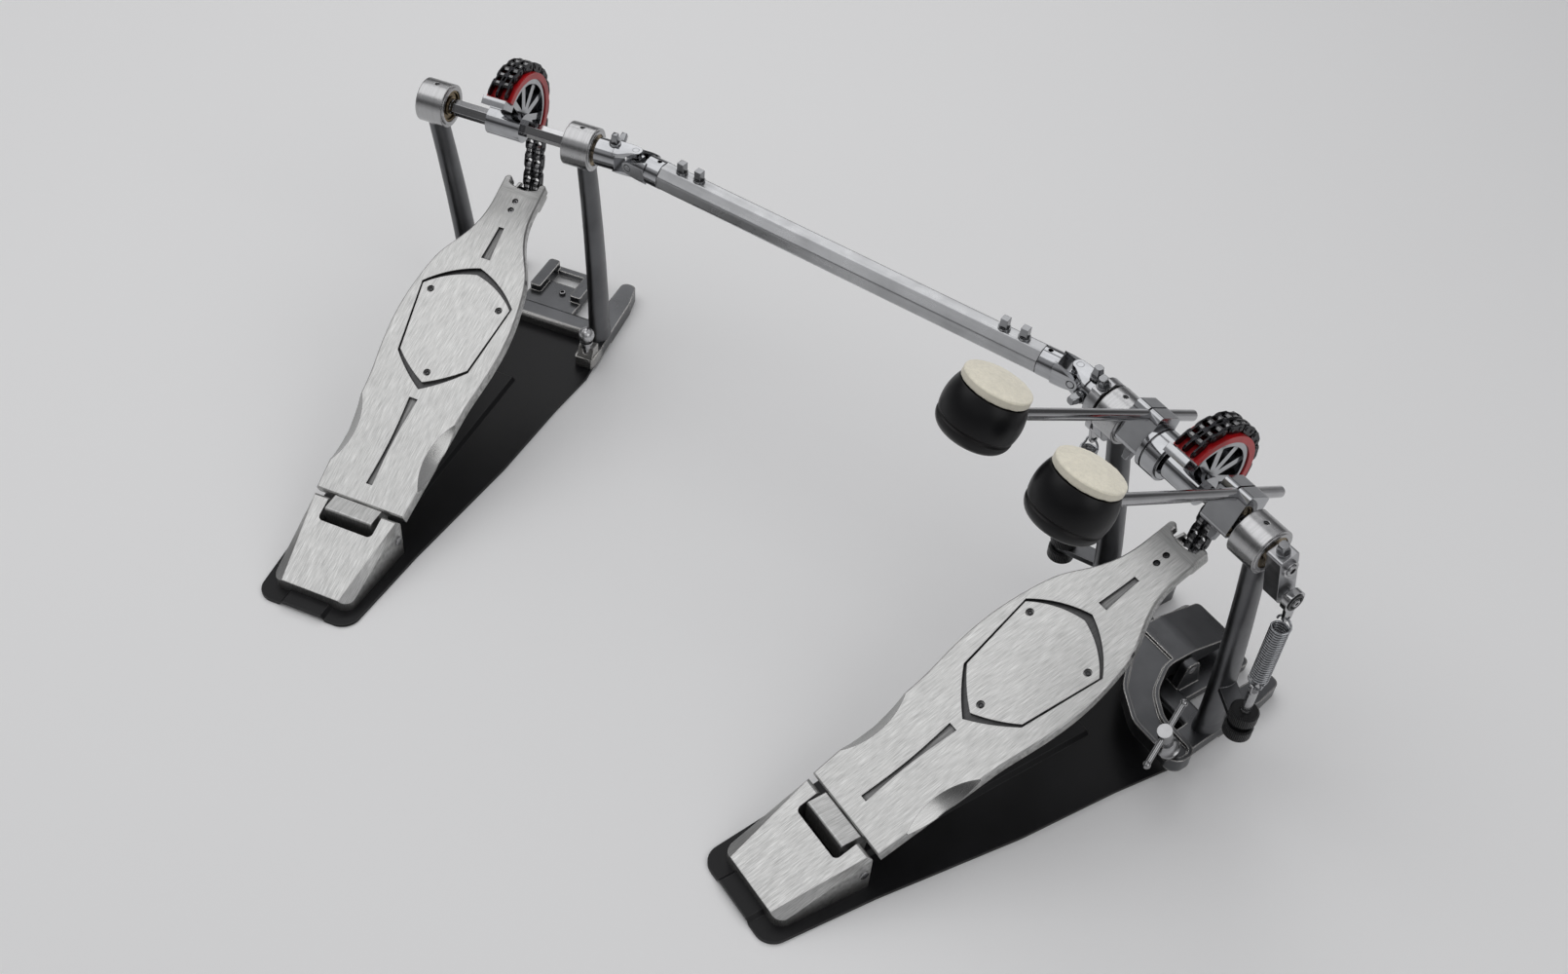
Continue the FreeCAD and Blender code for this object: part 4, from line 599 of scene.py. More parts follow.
def knurled_knob(name, side, black):
    """Black knobs with a knurled rim whose crests carry a painted highlight and whose edges are lightened as
    wear and painted highlight
    """
    f = Finish(name, {"Specular IOR Level": 0.28})
    at = f.local(Matrix.Translation((side * SPRING_X, SPRING_Y, 0)))
    x, y = f.axes(at, "XY")
    rim = f.step(f.distance(x, y, 0.0, 0.0), KNOB_RIM, 0.0003)
    ribs = f.math("SINE", f.math("ARCTAN2", y, x) * KNURL_RIBS) * rim
    grain = f.noise(at, (500, 500, 500), 2)
    # Painted highlight on the knurl's crests; edges lightened as wear and painted highlight
    tip_highlight = f.span(ribs, 0.1, 1.0) * 0.5 + f.edges(0.0005) * 0.3
    tone = f.mix(tip_highlight, tint(black, 0.6), KNURL_TIP_HIGHLIGHT)
    rough = 0.3 + (grain - 0.5) * 0.16
    normal = f.bump(ribs + grain * 0.08, 0.9, 0.0005, f.rounded(0.0006))
    return f.shade({"Base Color": tone, "Roughness": rough, "Normal": normal})


def wool_felt(name, colour):
    """Pressed wool felt with matted fibres and small dents; its side is darkened as painted shade"""
    f = Finish(name, {"Sheen Weight": 0.3, "Sheen Roughness": 0.6, "Specular IOR Level": 0.15})
    at = f.local(MAIN)
    mat = f.noise(at, (1500, 900, 1100), 6)
    tufts = f.noise(at, (330, 330, 330), 4)
    cloud = f.noise(at, (75, 75, 75), 3)
    shade = f.span(mat * 0.35 + tufts * 0.35 + cloud * 0.3, 0.34, 0.62)
    tone = f.mix(shade, tint(colour, 0.85), tint(colour, 1.06))
    fleck = f.step(f.noise(at, (700, 700, 700), 1), 0.74, 0.03)
    tone = f.mix(fleck * 0.3, tone, FELT_FLECK)
    # Painted shade: the felt's side darker than its face
    height = f.axes(f.local(FELT_PLACE), "Z")[0]
    side = 1 - f.step(height, FELT_SIDE, 0.0004)
    tone = f.mix(side * 0.5, tone, tint(colour, 0.55))
    rough = 0.88 + mat * 0.1
    face = f.node("ShaderNodeNewGeometry", {}, {}, "Normal")
    normal = f.bump(mat * 0.5 + tufts * 0.5, 0.55, 0.0005, face)
    return f.shade({"Base Color": tone, "Roughness": rough, "Normal": normal})


def dress(material, *nodes):
    """Gives CAD nodes a material"""
    for name in nodes:
        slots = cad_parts[name].data.materials
        slots.clear()
        slots.append(material)


# Modelling helpers

def deselect():
    bpy.ops.object.select_all(action="DESELECT")


def added(name):
    """Names the primitive just added and puts its place into its mesh"""
    piece = bpy.context.object
    piece.name = name
    piece.data.name = name
    bpy.ops.object.transform_apply(location=True, rotation=True, scale=True)
    return piece


def pick_faces(piece, test):
    """Selects the faces whose middle and normal pass a test, in edit mode"""
    bpy.ops.mesh.select_mode(type="FACE")
    bpy.ops.mesh.select_all(action="DESELECT")
    mesh = bmesh.from_edit_mesh(piece.data)
    for face in mesh.faces:
        face.select_set(test(face.calc_center_median(), face.normal))
    bmesh.update_edit_mesh(piece.data)


def pick_edges(piece, test):
    """Selects the edges whose two ends pass a test, in edit mode"""
    bpy.ops.mesh.select_mode(type="EDGE")
    bpy.ops.mesh.select_all(action="DESELECT")
    mesh = bmesh.from_edit_mesh(piece.data)
    for edge in mesh.edges:
        edge.select_set(test(edge.verts[0].co, edge.verts[1].co))
    bmesh.update_edit_mesh(piece.data)


def carve(piece, cutter):
    """Cuts one piece out of another"""
    modifier = piece.modifiers.new("carve", "BOOLEAN")
    modifier.operation = "DIFFERENCE"
    modifier.object = cutter
    deselect()
    piece.select_set(True)
    bpy.context.view_layer.objects.active = piece
    bpy.ops.object.modifier_apply(modifier=modifier.name)
    bpy.data.objects.remove(cutter)


def facing(at, way):
    """A place at a point with +Z turned to a direction"""
    return Matrix.Translation(at) @ UP.rotation_difference(Vector(way)).to_matrix().to_4x4()


def copies(source, names, places, body, material):
    """Puts copies of a piece in their places on a body, each with its own mesh"""
    for name, place in zip(names, places):
        piece = source.copy()
        piece.data = source.data.copy()
        piece.name = name
        piece.data.name = name
        piece.data.transform(place)
        piece.data.materials.clear()
        piece.data.materials.append(material)
        bpy.context.collection.objects.link(piece)
        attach(piece, body)


def socket_screw(name, radius, height, across):
    """A cap screw with a rounded rim and a hexagon socket, its head along +Z from the origin"""
    deselect()
    bpy.ops.mesh.primitive_cylinder_add(vertices=32, radius=radius, depth=height, location=(0, 0, height / 2))
    screw = added(name)
    bpy.ops.object.mode_set(mode="EDIT")
    pick_edges(screw, lambda a, b: min(a.z, b.z) > height * 0.99)
    bpy.ops.mesh.bevel(offset=min(radius, height) * 0.3, segments=3, affect="EDGES")
    bpy.ops.object.mode_set(mode="OBJECT")
    deselect()
    bpy.ops.mesh.primitive_cylinder_add(
        vertices=6, radius=across / math.sqrt(3), depth=height * 1.5, location=(0, 0, height))
    carve(screw, added(name + "_socket"))
    bpy.ops.object.shade_smooth_by_angle(angle=math.radians(35))
    return screw


def key_bolt(name):
    """A tapered square-headed bolt on a washer, its head along +Z from the origin"""
    deselect()
    middle = (0, 0, WASHER_T / 2)
    bpy.ops.mesh.primitive_cylinder_add(vertices=32, radius=WASHER_R, depth=WASHER_T, location=middle)
    bolt = added(name)
    bpy.ops.object.mode_set(mode="EDIT")
    pick_edges(bolt, lambda a, b: min(a.z, b.z) > WASHER_T * 0.9)
    bpy.ops.mesh.bevel(offset=0.0004, segments=2, affect="EDGES")
    bpy.ops.object.mode_set(mode="OBJECT")
    deselect()
    bpy.ops.mesh.primitive_cube_add(size=KEY_HEAD, location=(0, 0, WASHER_T + KEY_HEAD / 2))
    head = added(name + "_head")
    bpy.ops.object.mode_set(mode="EDIT")
    pick_faces(head, lambda at, normal: normal.z > 0.9)
    bpy.ops.transform.translate(value=(0, 0, KEY_RISE))
    bpy.ops.transform.resize(value=(0.78, 0.78, 1))
    bpy.ops.mesh.select_all(action="SELECT")
    bpy.ops.mesh.bevel(offset=0.0005, segments=2, affect="EDGES")
    bpy.ops.object.mode_set(mode="OBJECT")
    bolt.select_set(True)
    bpy.context.view_layer.objects.active = bolt
    bpy.ops.object.join()
    bpy.ops.object.shade_smooth_by_angle(angle=math.radians(35))
    return bolt


# Operators

class PEDAL_OT_finishes(bpy.types.Operator):
    """Gives every solid of the frame its finish"""

    bl_idname = "pedal.finishes"
    bl_label = "Finish the frame"

    def execute(self, context):
        c = context.scene.pedal_colours
        for pedal, place in (("main", MAIN), ("second", SECOND)):
            self.pedal(c, pedal, place)
        self.shared(c)
        return {"FINISHED"}

    def pedal(self, c, pedal, place):
        dress(brushed_alloy(pedal + "_board_alloy", place @ BOARD, c.alloy, True), pedal + "_footboard")
        askew = place @ BOARD @ Matrix.Rotation(math.radians(-4), 4, "Z")
        shield = brushed_alloy(pedal + "_shield_alloy", askew, tint(c.alloy, 1.03), False)
        dress(shield, pedal + "_traction_plate")
        heel = brushed_alloy(pedal + "_heel_alloy", place, c.alloy, False)
        dress(heel, pedal + "_heel_plate", pedal + "_hinge_block")
        dress(post_metal(pedal + "_post_metal", place, c.post, c.housing), pedal + "_posts")
        chain = chain_metal(pedal + "_chain_metal", place, c.black, c.steel)
        links = ["_chain_drop", "_chain_run_a", "_chain_run_b", "_chain_wrap"]
        dress(chain, *[pedal + link for link in links])
        axle = plain_metal(pedal + "_axle_steel", c.steel, 0.12, place=place, lines=(25, 700, 700), wear_and_highlight=0.4)
        dress(axle, pedal + "_axle")

    def shared(self, c):
        both = ("main", "second")
        beaters = ("main", "left")
        sheet = coated("black_sheet", c.black, 0.36, 700, SHEET_WEAR_AND_HIGHLIGHT, wear_and_highlight=0.35, shine=0.22)
        dress(sheet, *[p + "_base_plate" for p in both])
        dress(cast_metal("main_casting", MAIN, c.casting, False), "main_front_casting", "hoop_clamp_lever")
        dress(cast_metal("second_casting", SECOND, c.casting, True), "second_front_casting")
        satin = plain_metal(
            "satin_alloy", tint(c.alloy, 0.85), 0.30, lines=(300, 300, 300), marks_depth=0.06, wear_and_highlight=0.4)
        dress(satin, *[p + "_chain_anchor" for p in both])
        chrome = plain_metal("bright_chrome", c.chrome, 0.10)
        dress(chrome, *[p + "_cam_wheel" for p in both], *[p + "_joint_yoke" for p in both])
        dress(chrome, "main_beater_block", "left_beater_hub")
        # The clamp bolt's steel is darkened as painted shade against the key light's reflection
        clamp = plain_metal(
            "clamp_bolt_steel", tint(c.steel, 0.72), 0.16, lines=(70, 70, 70), marks_depth=0.02, nook=0.0012)
        dress(clamp, "hoop_clamp_bolt")
        shaft = plain_metal("shaft_chrome", c.chrome, 0.12, place=SHAFT, lines=(40, 500, 500), wear_and_highlight=0.4)
        dress(shaft, "drive_shaft_rods", *[p + "_joint_cross" for p in both])
        tube = plain_metal(
            "satin_tube", c.tube, 0.30, place=SHAFT, lines=(9, 260, 260), marks_depth=0.015, wear_and_highlight=0.6)
        dress(tube, "drive_tube")
        dress(bolt_nickel("bolt_nickel", c.chrome), "drive_shaft_bolts", "main_axle_bolts", "left_hub_bolts")
        rods = plain_metal(
            "rod_steel", c.steel, 0.14, place=HEAD_TURN, lines=(700, 20, 700), marks_depth=0.06)
        dress(rods, *[b + "_beater_rod" for b in beaters], "pivot_pins")
        bronze = plain_metal(
            "bearing_bronze", c.bronze, 0.28, lines=(600, 30, 30), marks_depth=0.06, wear_and_highlight=0.5)
        dress(bronze, "axle_bearings")
        dress(cam_bed("red_cam_bed", c.red), *[p + "_cam_insert" for p in both])
        heads = coated(
            "black_beater", tint(c.black, 0.8), 0.33, 260, HEAD_WEAR_AND_HIGHLIGHT, wear_and_highlight=0.3, shine=0.22, depth=0.08)
        dress(heads, *[b + "_beater_head" for b in beaters])
        rockers = rocker_metal("rocker_metal", c.chrome, c.black, c.steel)
        dress(rockers, *[b + "_spring_rocker" for b in beaters])
        hooks = plain_metal("hook_steel", c.steel, 0.18)
        dress(hooks, *[b + "_spring_hook" for b in beaters])
        dress(threaded_steel("stud_steel", c.steel), "threaded_studs")
        dress(knurled_knob("main_knob_black", 1, c.black), "main_tension_knobs")
        dress(knurled_knob("left_knob_black", -1, c.black), "left_tension_knobs")


class PEDAL_OT_felt_pads(bpy.types.Operator):
    """Models the beaters' felt pads"""

    bl_idname = "pedal.felt_pads"
    bl_label = "Felt pads"

    def execute(self, context):
        sizes = context.scene.pedal_sizes
        material = wool_felt("cream_felt", context.scene.pedal_colours.felt)
        pad = self.pad(sizes)
        for name, x, body in (("main", MAIN_ROD_X, "main_axle"), ("left", LEFT_ROD_X, "left_hub")):
            seat = Matrix.Translation((x, 0, 0)) @ FELT_PLACE
            copies(pad, [name + "_felt_pad"], [seat], body, material)
            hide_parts(name + "_beater_felt")
        bpy.data.objects.remove(pad)
        return {"FINISHED"}

    def pad(self, sizes):
        """A disc with a soft upper edge, a slight crown and a matted, uneven surface"""
        radius, thick = sizes.felt_radius, sizes.felt_thickness
        deselect()
        middle = (0, 0, thick / 2)
        bpy.ops.mesh.primitive_cylinder_add(vertices=96, radius=radius, depth=thick, location=middle)
        pad = added("felt_pad")
        bpy.ops.object.mode_set(mode="EDIT")
        pick_edges(pad, lambda a, b: abs(a.z - b.z) > thick * 0.5)
        bpy.ops.mesh.subdivide(number_cuts=3)
        pick_edges(pad, lambda a, b: min(a.z, b.z) > thick * 0.99)
        bpy.ops.mesh.bevel(offset=sizes.felt_edge, segments=5, affect="EDGES")
        pick_faces(pad, lambda at, normal: at.z > thick * 0.99 and normal.z > 0.99)
        for ring in range(7):
            bpy.ops.mesh.inset(thickness=radius * 0.115)
            bpy.ops.transform.translate(value=(0, 0, 0.00008 * (7 - ring)))
        bpy.ops.mesh.poke()
        bpy.ops.object.mode_set(mode="OBJECT")
        fine = pad.modifiers.new("fine", "SUBSURF")
        fine.levels = fine.render_levels = 1
        bpy.ops.object.modifier_apply(modifier=fine.name)
        self.matted(pad, "felt_dents", 0.007, 0.0007)
        self.matted(pad, "felt_tufts", 0.0016, 0.00035)
        bpy.ops.object.shade_smooth()
        return pad

    def matted(self, pad, name, size, depth):
        texture = bpy.data.textures.new(name, "CLOUDS")
        texture.noise_scale = size
        modifier = pad.modifiers.new(name, "DISPLACE")
        modifier.texture = texture
        modifier.texture_coords = "LOCAL"
        modifier.strength = depth
        modifier.mid_level = 0.5
        bpy.ops.object.modifier_apply(modifier=modifier.name)


class PEDAL_OT_springs(bpy.types.Operator):
    """Winds the two return springs with their end loops"""

    bl_idname = "pedal.springs"
    bl_label = "Springs"

    def execute(self, context):
        sizes = context.scene.pedal_sizes
        colour = context.scene.pedal_colours.zinc
        # The wide nook darkens the gaps between the turns as painted shade
        zinc = plain_metal("spring_zinc", colour, 0.13, lines=(500, 500, 500), wear_and_highlight=0.2, nook=0.005)
        for name, side in (("main", 1), ("left", -1)):
            spring = self.wound(name + "_return_spring", side, sizes)
            spring.data.materials.append(zinc)
            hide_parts(name + "_spring")
            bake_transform(spring)
        return {"FINISHED"}

    def line(self, side, sizes):
        """Points of the wire: the lower loop, the turns and the upper loop"""
        r, bend = sizes.spring_radius, sizes.spring_bend
        low, high = sizes.spring_low, sizes.spring_high
        points = []
        for i in range(LOOP_STEPS + 1):
            a = math.pi * (1 - i / LOOP_STEPS)
            points.append((r * math.cos(a), -bend, low - bend - r * math.sin(a)))
        points.append((r, -bend * 0.7, low - bend * 0.3))
        steps = TURN_STEPS * sizes.spring_turns
        for i in range(steps + 1):
            a = 2 * math.pi * i / TURN_STEPS
            points.append((r * math.cos(a), r * math.sin(a), low + (high - low) * i / steps))
        points.append((r, bend * 0.7, high + bend * 0.3))
        for i in range(LOOP_STEPS + 1):
            a = math.pi * i / LOOP_STEPS
            points.append((r * math.cos(a), bend, high + bend + r * math.sin(a)))
        return [(side * (SPRING_X + x), SPRING_Y + y, z) for x, y, z in points]

    def wound(self, name, side, sizes):
        points = self.line(side, sizes)
        curve = bpy.data.curves.new(name, "CURVE")
        curve.dimensions = "3D"
        curve.bevel_depth = sizes.spring_wire
        curve.bevel_resolution = 2
        curve.use_fill_caps = True
        wire = curve.splines.new("POLY")
        wire.points.add(len(points) - 1)
        for point, place in zip(wire.points, points):
            point.co = (*place, 1)
        spring = bpy.data.objects.new(name, curve)
        bpy.context.collection.objects.link(spring)
        deselect()
        spring.select_set(True)
        bpy.context.view_layer.objects.active = spring
        bpy.ops.object.convert(target="MESH")
        bpy.ops.object.shade_smooth_by_angle(angle=math.radians(60))
        return spring


class PEDAL_OT_board_screws(bpy.types.Operator):
    """Sets the screws of the shield plates and the toes"""

    bl_idname = "pedal.board_screws"
    bl_label = "Board screws"

    def execute(self, context):
        sizes = context.scene.pedal_sizes
        dark = coated("black_screw", SCREW_BLACK, 0.3, 500, SCREW_WEAR_AND_HIGHLIGHT, wear_and_highlight=0.3, metallic=0.9)
        light = plain_metal("bright_screw", context.scene.pedal_colours.steel, 0.2)
        plate = socket_screw("plate_screw", sizes.plate_screw, PLATE_HEAD, sizes.plate_screw * 1.1)
        toe = socket_screw("toe_screw", sizes.toe_screw, TOE_HEAD, sizes.toe_screw * 1.1)
        # The main board's toe screws take the black finish as painted shade; the same screws on the second
        # board are bright steel
        finishes = (("main", MAIN, "black_steel", dark), ("second", SECOND, "polished_steel", light))
        for pedal, place, slot, finish in finishes:
            body = pedal + "_board"
            names = [pedal + "_plate_screw_" + end for end in PLATE_SCREWS]
            seats = [place @ BOARD @ Matrix.Translation((x, u, PLATE_SEAT)) for x, u in PLATE_SCREWS.values()]
            copies(plate, names, seats, body, dark)
            names = [pedal + "_toe_screw_" + end for end in TOE_SCREWS]
            seats = [place @ BOARD @ Matrix.Translation((0, u, TOE_SEAT)) for u in TOE_SCREWS.values()]
            copies(toe, names, seats, body, finish)
        bpy.data.objects.remove(plate)
        bpy.data.objects.remove(toe)
        return {"FINISHED"}


class PEDAL_OT_axle_screws(bpy.types.Operator):
    """Sets the screws of the bearing housings, the axle end and the spring bearings"""

    bl_idname = "pedal.axle_screws"
    bl_label = "Axle screws"

    def execute(self, context):
        sizes = context.scene.pedal_sizes
        colours = context.scene.pedal_colours
        dark = coated(
            "set_screw_black", tint(colours.black, 1.5), 0.34, 500, SET_SCREW_WEAR_AND_HIGHLIGHT, wear_and_highlight=0.7, metallic=0.6)
        steel = plain_metal("end_screw_steel", tint(colours.steel, 0.8), 0.2)
        grub = socket_screw("grub_screw", sizes.set_screw, SET_HEAD, sizes.set_screw * 1.1)
        top = AXLE_Z + HOUSING_TOP - SET_SUNK
        spots = [("main_right", MAIN, HOUSING_X), ("main_left", MAIN, LEFT_HOUSING_X),
                 ("second_right", SECOND, HOUSING_X), ("second_left", SECOND, -HOUSING_X)]
        for end, place, x in spots:
            seat = place @ Matrix.Translation((x, 0, top))
            copies(grub, [end + "_grub_screw"], [seat], "frame", dark)
        cap = socket_screw("cap_screw", sizes.end_screw, END_HEAD, sizes.end_screw)
        seat = facing((SPRING_X - WHEEL_HALF, 0, AXLE_Z), (1, 0, 0))
        copies(cap, ["main_axle_end_screw"], [seat], "main_axle", steel)
        pin = socket_screw("bearing_screw", PIN_R, PIN_HEAD, PIN_R)
        for end, side, body in (("main", 1, "main_axle"), ("left", -1, "left_hub")):
            seat = facing((side * (SPRING_X + WHEEL_HALF), SPRING_Y, BEARING_Z), (side, 0, 0))
            copies(pin, [end + "_bearing_screw"], [seat], body, steel)
        for source in (grub, cap, pin):
            bpy.data.objects.remove(source)
        return {"FINISHED"}


class PEDAL_OT_yoke_bolts(bpy.types.Operator):
    """Sets the key bolts that clamp the second pedal's yoke on its axle"""

    bl_idname = "pedal.yoke_bolts"
    bl_label = "Yoke bolts"

    def execute(self, context):
        nickel = bolt_nickel("yoke_bolt_nickel", context.scene.pedal_colours.chrome)
        bolt = key_bolt("yoke_bolt")
        middle = Vector((YOKE_X, 0, AXLE_Z))
        ways = [Vector((0, 0, 1)), Vector((0, math.sin(YOKE_LEAN), math.cos(YOKE_LEAN)))]
        places = [SECOND @ facing(middle + YOKE_TOP * way, way) for way in ways]
        names = ["second_yoke_bolt_" + end for end in ("top", "rear")]
        copies(bolt, names, places, "second_axle", nickel)
        bpy.data.objects.remove(bolt)
        return {"FINISHED"}


class PEDAL_OT_spur_knobs(bpy.types.Operator):
    """Puts round knobs with collars on the spur screws of the second pedal"""

    bl_idname = "pedal.spur_knobs"
    bl_label = "Spur knobs"

    def execute(self, context):
        sizes = context.scene.pedal_sizes
        # The knob's steel is set lighter than the steel: painted highlight
        colour = tint(context.scene.pedal_colours.steel, 1.2)
        steel = plain_metal("spur_knob_steel", colour, 0.34, lines=(60, 60, 60), marks_depth=0.02)
        knob = self.knob(sizes.spur_knob)
        for end, side in (("right", 1), ("left", -1)):
            seat = SECOND @ Matrix.Translation((side * SPUR_X, 0, SPUR_Z))
            copies(knob, ["second_spur_knob_" + end], [seat], "frame", steel)
        bpy.data.objects.remove(knob)
        return {"FINISHED"}

    def knob(self, radius):
        """A ball whose underside is drawn out into a short neck and a collar"""
        deselect()
        bpy.ops.mesh.primitive_uv_sphere_add(segments=40, ring_count=20, radius=radius)
        knob = added("spur_knob")
        bpy.ops.object.mode_set(mode="EDIT")
        pick_faces(knob, lambda at, normal: at.z < -0.82 * radius)
        bpy.ops.mesh.delete(type="FACE")
        pick_edges(knob, lambda a, b: max(a.z, b.z) < -0.79 * radius)
        for scale, drop in ((1.0, 0.0012), (1.35, 0.0), (1.0, 0.0016), (0.8, 0.0003)):
            bpy.ops.mesh.extrude_edges_move()
            bpy.ops.transform.translate(value=(0, 0, -drop))
            bpy.ops.transform.resize(value=(scale, scale, 1), center_override=(0, 0, 0))
        bpy.ops.mesh.edge_face_add()
        bpy.ops.mesh.select_all(action="SELECT")
        bpy.ops.mesh.normals_make_consistent(inside=False)
        bpy.ops.object.mode_set(mode="OBJECT")
        bpy.ops.object.shade_smooth_by_angle(angle=math.radians(35))
        return knob


class PEDAL_OT_casting_screws(bpy.types.Operator):
    """Sets the screw on the shelf of the second pedal's front casting"""

    bl_idname = "pedal.casting_screws"
    bl_label = "Casting screws"

    def execute(self, context):
        sizes = context.scene.pedal_sizes
        steel = plain_metal("shelf_screw_steel", tint(context.scene.pedal_colours.steel, 0.8), 0.2)
        screw = socket_screw("shelf_screw", sizes.shelf_screw, SHELF_HEAD, sizes.shelf_screw * 1.1)
        seat = SECOND @ Matrix.Translation(SHELF_SPOT)
        copies(screw, ["second_shelf_screw"], [seat], "frame", steel)
        bpy.data.objects.remove(screw)
        return {"FINISHED"}


class PEDAL_OT_clamp_bell(bpy.types.Operator):
    """Puts a bell-shaped collar on the hoop clamp's bolt, over the lever"""

    bl_idname = "pedal.clamp_bell"
    bl_label = "Clamp bell"

    def execute(self, context):
        steel = tint(context.scene.pedal_colours.steel, 0.9)
        satin = plain_metal("clamp_bell_steel", steel, 0.26, lines=(60, 60, 60), marks_depth=0.02)
        bell = self.bell(context.scene.pedal_sizes.clamp_bell)
        seat = facing(CLAMP_AT + BELL_SEAT * CLAMP_WAY, CLAMP_WAY)
        copies(bell, ["clamp_bolt_bell"], [seat], "clamp_bolt", satin)
        bpy.data.objects.remove(bell)
        return {"FINISHED"}

    def bell(self, radius):
        """A low cylinder whose top is drawn in, step by step, towards the bolt"""
        deselect()
        middle = (0, 0, BELL_RIM / 2)
        bpy.ops.mesh.primitive_cylinder_add(vertices=48, radius=radius, depth=BELL_RIM, location=middle)
        bell = added("clamp_bell")
        bpy.ops.object.mode_set(mode="EDIT")
        pick_faces(bell, lambda at, normal: normal.z > 0.9)
        for rise, scale in ((0.0006, 0.93), (0.0016, 0.80), (0.0030, 0.75), (0.0012, 0.94)):
            bpy.ops.mesh.extrude_region_move()
            bpy.ops.transform.translate(value=(0, 0, rise))
            bpy.ops.transform.resize(value=(scale, scale, 1), center_override=(0, 0, 0))
        bpy.ops.object.mode_set(mode="OBJECT")
        bpy.ops.object.shade_smooth_by_angle(angle=math.radians(35))
        return bell


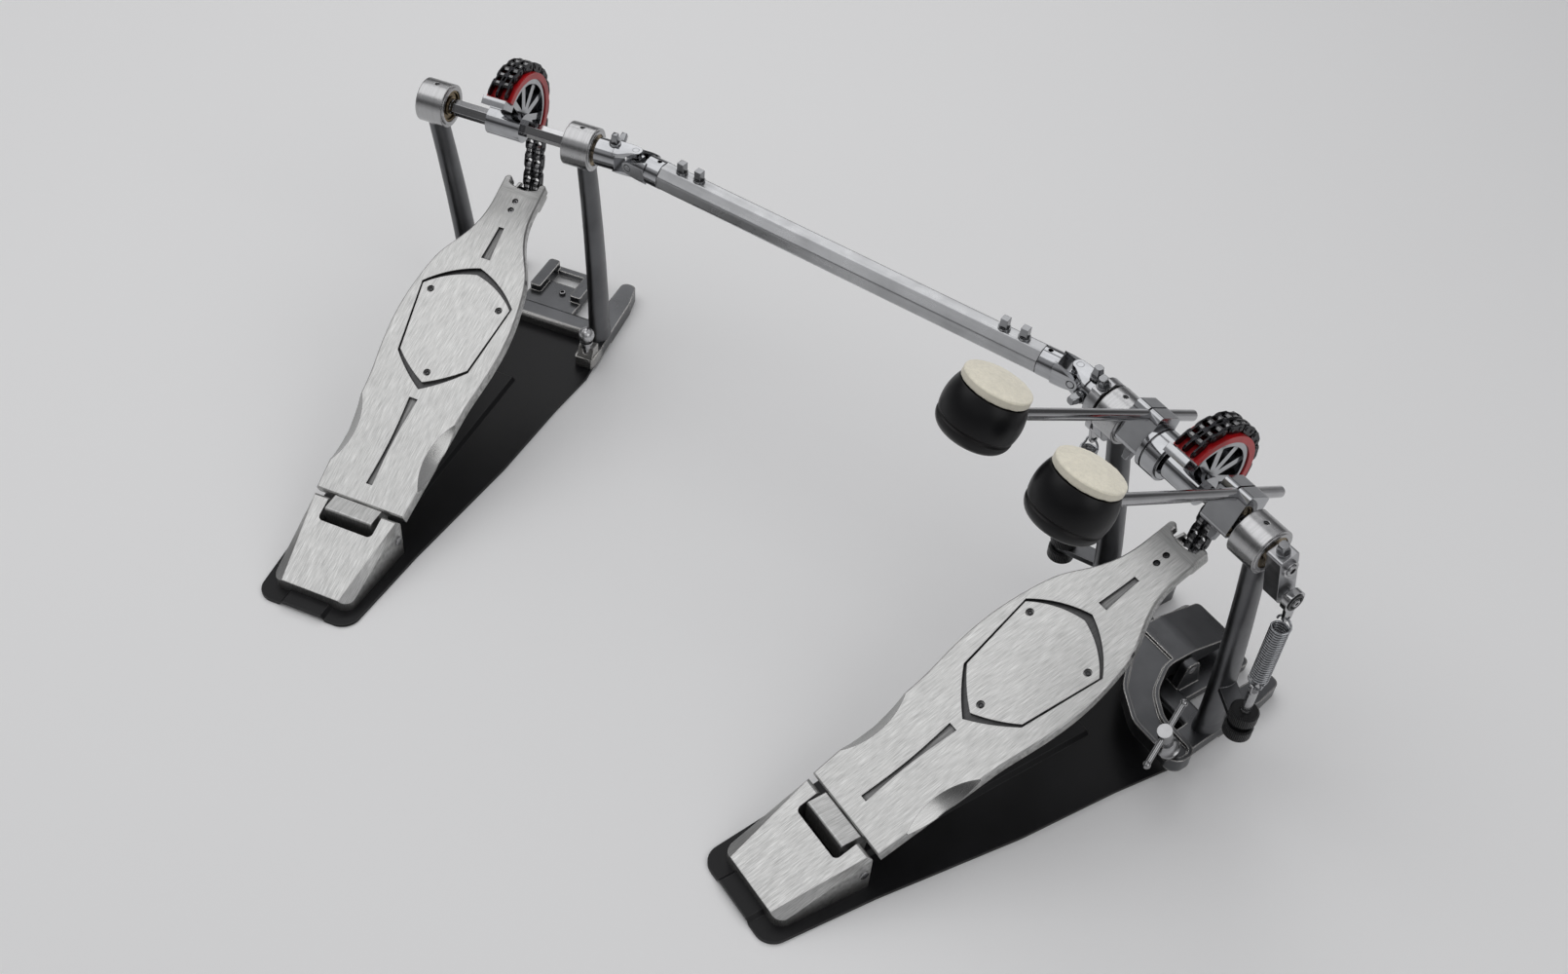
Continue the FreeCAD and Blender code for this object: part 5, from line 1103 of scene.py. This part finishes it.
class PEDAL_OT_stage(bpy.types.Operator):
    """Adds the floor, the soft lights and the camera"""

    bl_idname = "pedal.stage"
    bl_label = "Studio"

    def execute(self, context):
        scene = context.scene
        scene.view_settings.view_transform = "Standard"
        self.floor(scene.pedal_colours.floor)
        self.world(scene)
        studio = scene.pedal_studio
        over_boards = 2.1 * Vector((-0.36, -0.26, 0.90))
        at_right = Vector((1.7, 0.2, 1.1))
        behind = 2.3 * Vector((-0.56, 0.45, 0.70))
        self.lamp("key_light", studio.key, 2.2, AIM + over_boards)
        self.lamp("fill_light", studio.fill, 1.4, AIM + at_right)
        self.lamp("rim_light", studio.rim, 1.5, AIM + behind)
        self.camera(scene, studio.lens)
        return {"FINISHED"}

    def floor(self, colour):
        deselect()
        bpy.ops.mesh.primitive_plane_add(size=FLOOR_SIZE, location=(0, 0, CAD_BOX[0].z))
        floor = added("studio_floor")
        f = Finish("studio_floor", {"Specular IOR Level": 0.2})
        cloud = f.noise(f.local(MAIN), (1.2, 1.2, 1.2), 2)
        tone = f.mix(cloud, tint(colour, 0.985), tint(colour, 1.015))
        f.shade({"Base Color": tone, "Roughness": 0.6 + cloud * 0.1})
        floor.data.materials.append(f.material)

    def world(self, scene):
        world = bpy.data.worlds.new("studio")
        scene.world = world
        world.use_nodes = True
        tree = world.node_tree
        coords = tree.nodes.new("ShaderNodeTexCoord")
        split = tree.nodes.new("ShaderNodeSeparateXYZ")
        ramp = tree.nodes.new("ShaderNodeValToRGB")
        stops = ramp.color_ramp.elements
        stops[0].color = (0.36, 0.36, 0.362, 1)
        stops[1].color = (0.44, 0.44, 0.45, 1)
        stops[1].position = 0.75
        for place, level in ((0.07, 0.36), (0.13, 0.07), (0.32, 0.09), (0.5, 0.42)):
            stops.new(place).color = (level, level, level * 1.02, 1)
        tree.links.new(coords.outputs["Generated"], split.inputs["Vector"])
        tree.links.new(split.outputs["Z"], ramp.inputs["Fac"])
        tree.links.new(ramp.outputs["Color"], tree.nodes["Background"].inputs["Color"])

    def lamp(self, name, power, size, place):
        light = bpy.data.lights.new(name, "AREA")
        light.energy = power
        light.shape = "DISK"
        light.size = size
        lamp = bpy.data.objects.new(name, light)
        lamp.location = place
        lamp.rotation_euler = (AIM - place).to_track_quat("-Z", "Y").to_euler()
        bpy.context.collection.objects.link(lamp)

    def camera(self, scene, lens):
        data = bpy.data.cameras.new("photo_camera")
        data.sensor_width = 36
        data.lens = lens
        camera = bpy.data.objects.new("photo_camera", data)
        away = math.cos(CAMERA_RISE)
        ahead = Vector((math.sin(CAMERA_TURN) * away, math.cos(CAMERA_TURN) * away, -math.sin(CAMERA_RISE)))
        right = Vector((math.cos(CAMERA_TURN), -math.sin(CAMERA_TURN), 0))
        over = right.cross(ahead)
        level = math.cos(CAMERA_ROLL) * right + math.sin(CAMERA_ROLL) * over
        upright = math.cos(CAMERA_ROLL) * over - math.sin(CAMERA_ROLL) * right
        turned = Matrix((level, upright, -ahead)).transposed().to_4x4()
        camera.matrix_world = Matrix.Translation(CAMERA_AT) @ turned
        bpy.context.collection.objects.link(camera)
        scene.camera = camera


class PEDAL_PT_sidebar(bpy.types.Panel):
    """Lists the pedal's sizes, colours and steps"""

    bl_idname = "PEDAL_PT_sidebar"
    bl_label = "Double pedal"
    bl_space_type = "VIEW_3D"
    bl_region_type = "UI"
    bl_category = "Pedal"

    def draw(self, context):
        for group in (context.scene.pedal_sizes, context.scene.pedal_colours, context.scene.pedal_studio):
            box = self.layout.box()
            for key in group.__annotations__:
                box.prop(group, key)
        for step in STEPS:
            self.layout.operator(step.bl_idname)


GROUPS = {"pedal_sizes": PedalSizes, "pedal_colours": PedalColours, "pedal_studio": PedalStudio}
STEPS = (
    PEDAL_OT_finishes,
    PEDAL_OT_felt_pads,
    PEDAL_OT_springs,
    PEDAL_OT_board_screws,
    PEDAL_OT_axle_screws,
    PEDAL_OT_yoke_bolts,
    PEDAL_OT_spur_knobs,
    PEDAL_OT_casting_screws,
    PEDAL_OT_clamp_bell,
    PEDAL_OT_stage,
)


def register():
    for cls in (*GROUPS.values(), *STEPS, PEDAL_PT_sidebar):
        bpy.utils.register_class(cls)
    for key, group in GROUPS.items():
        setattr(bpy.types.Scene, key, PointerProperty(type=group))


def unregister():
    for key in GROUPS:
        delattr(bpy.types.Scene, key)
    for cls in (PEDAL_PT_sidebar, *reversed(STEPS), *reversed(GROUPS.values())):
        bpy.utils.unregister_class(cls)


def main():
    register()
    bpy.ops.pedal.finishes()
    bpy.ops.pedal.felt_pads()
    bpy.ops.pedal.springs()
    bpy.ops.pedal.board_screws()
    bpy.ops.pedal.axle_screws()
    bpy.ops.pedal.yoke_bolts()
    bpy.ops.pedal.spur_knobs()
    bpy.ops.pedal.casting_screws()
    bpy.ops.pedal.clamp_bell()
    bpy.ops.pedal.stage()


if __name__ == "__main__":
    main()
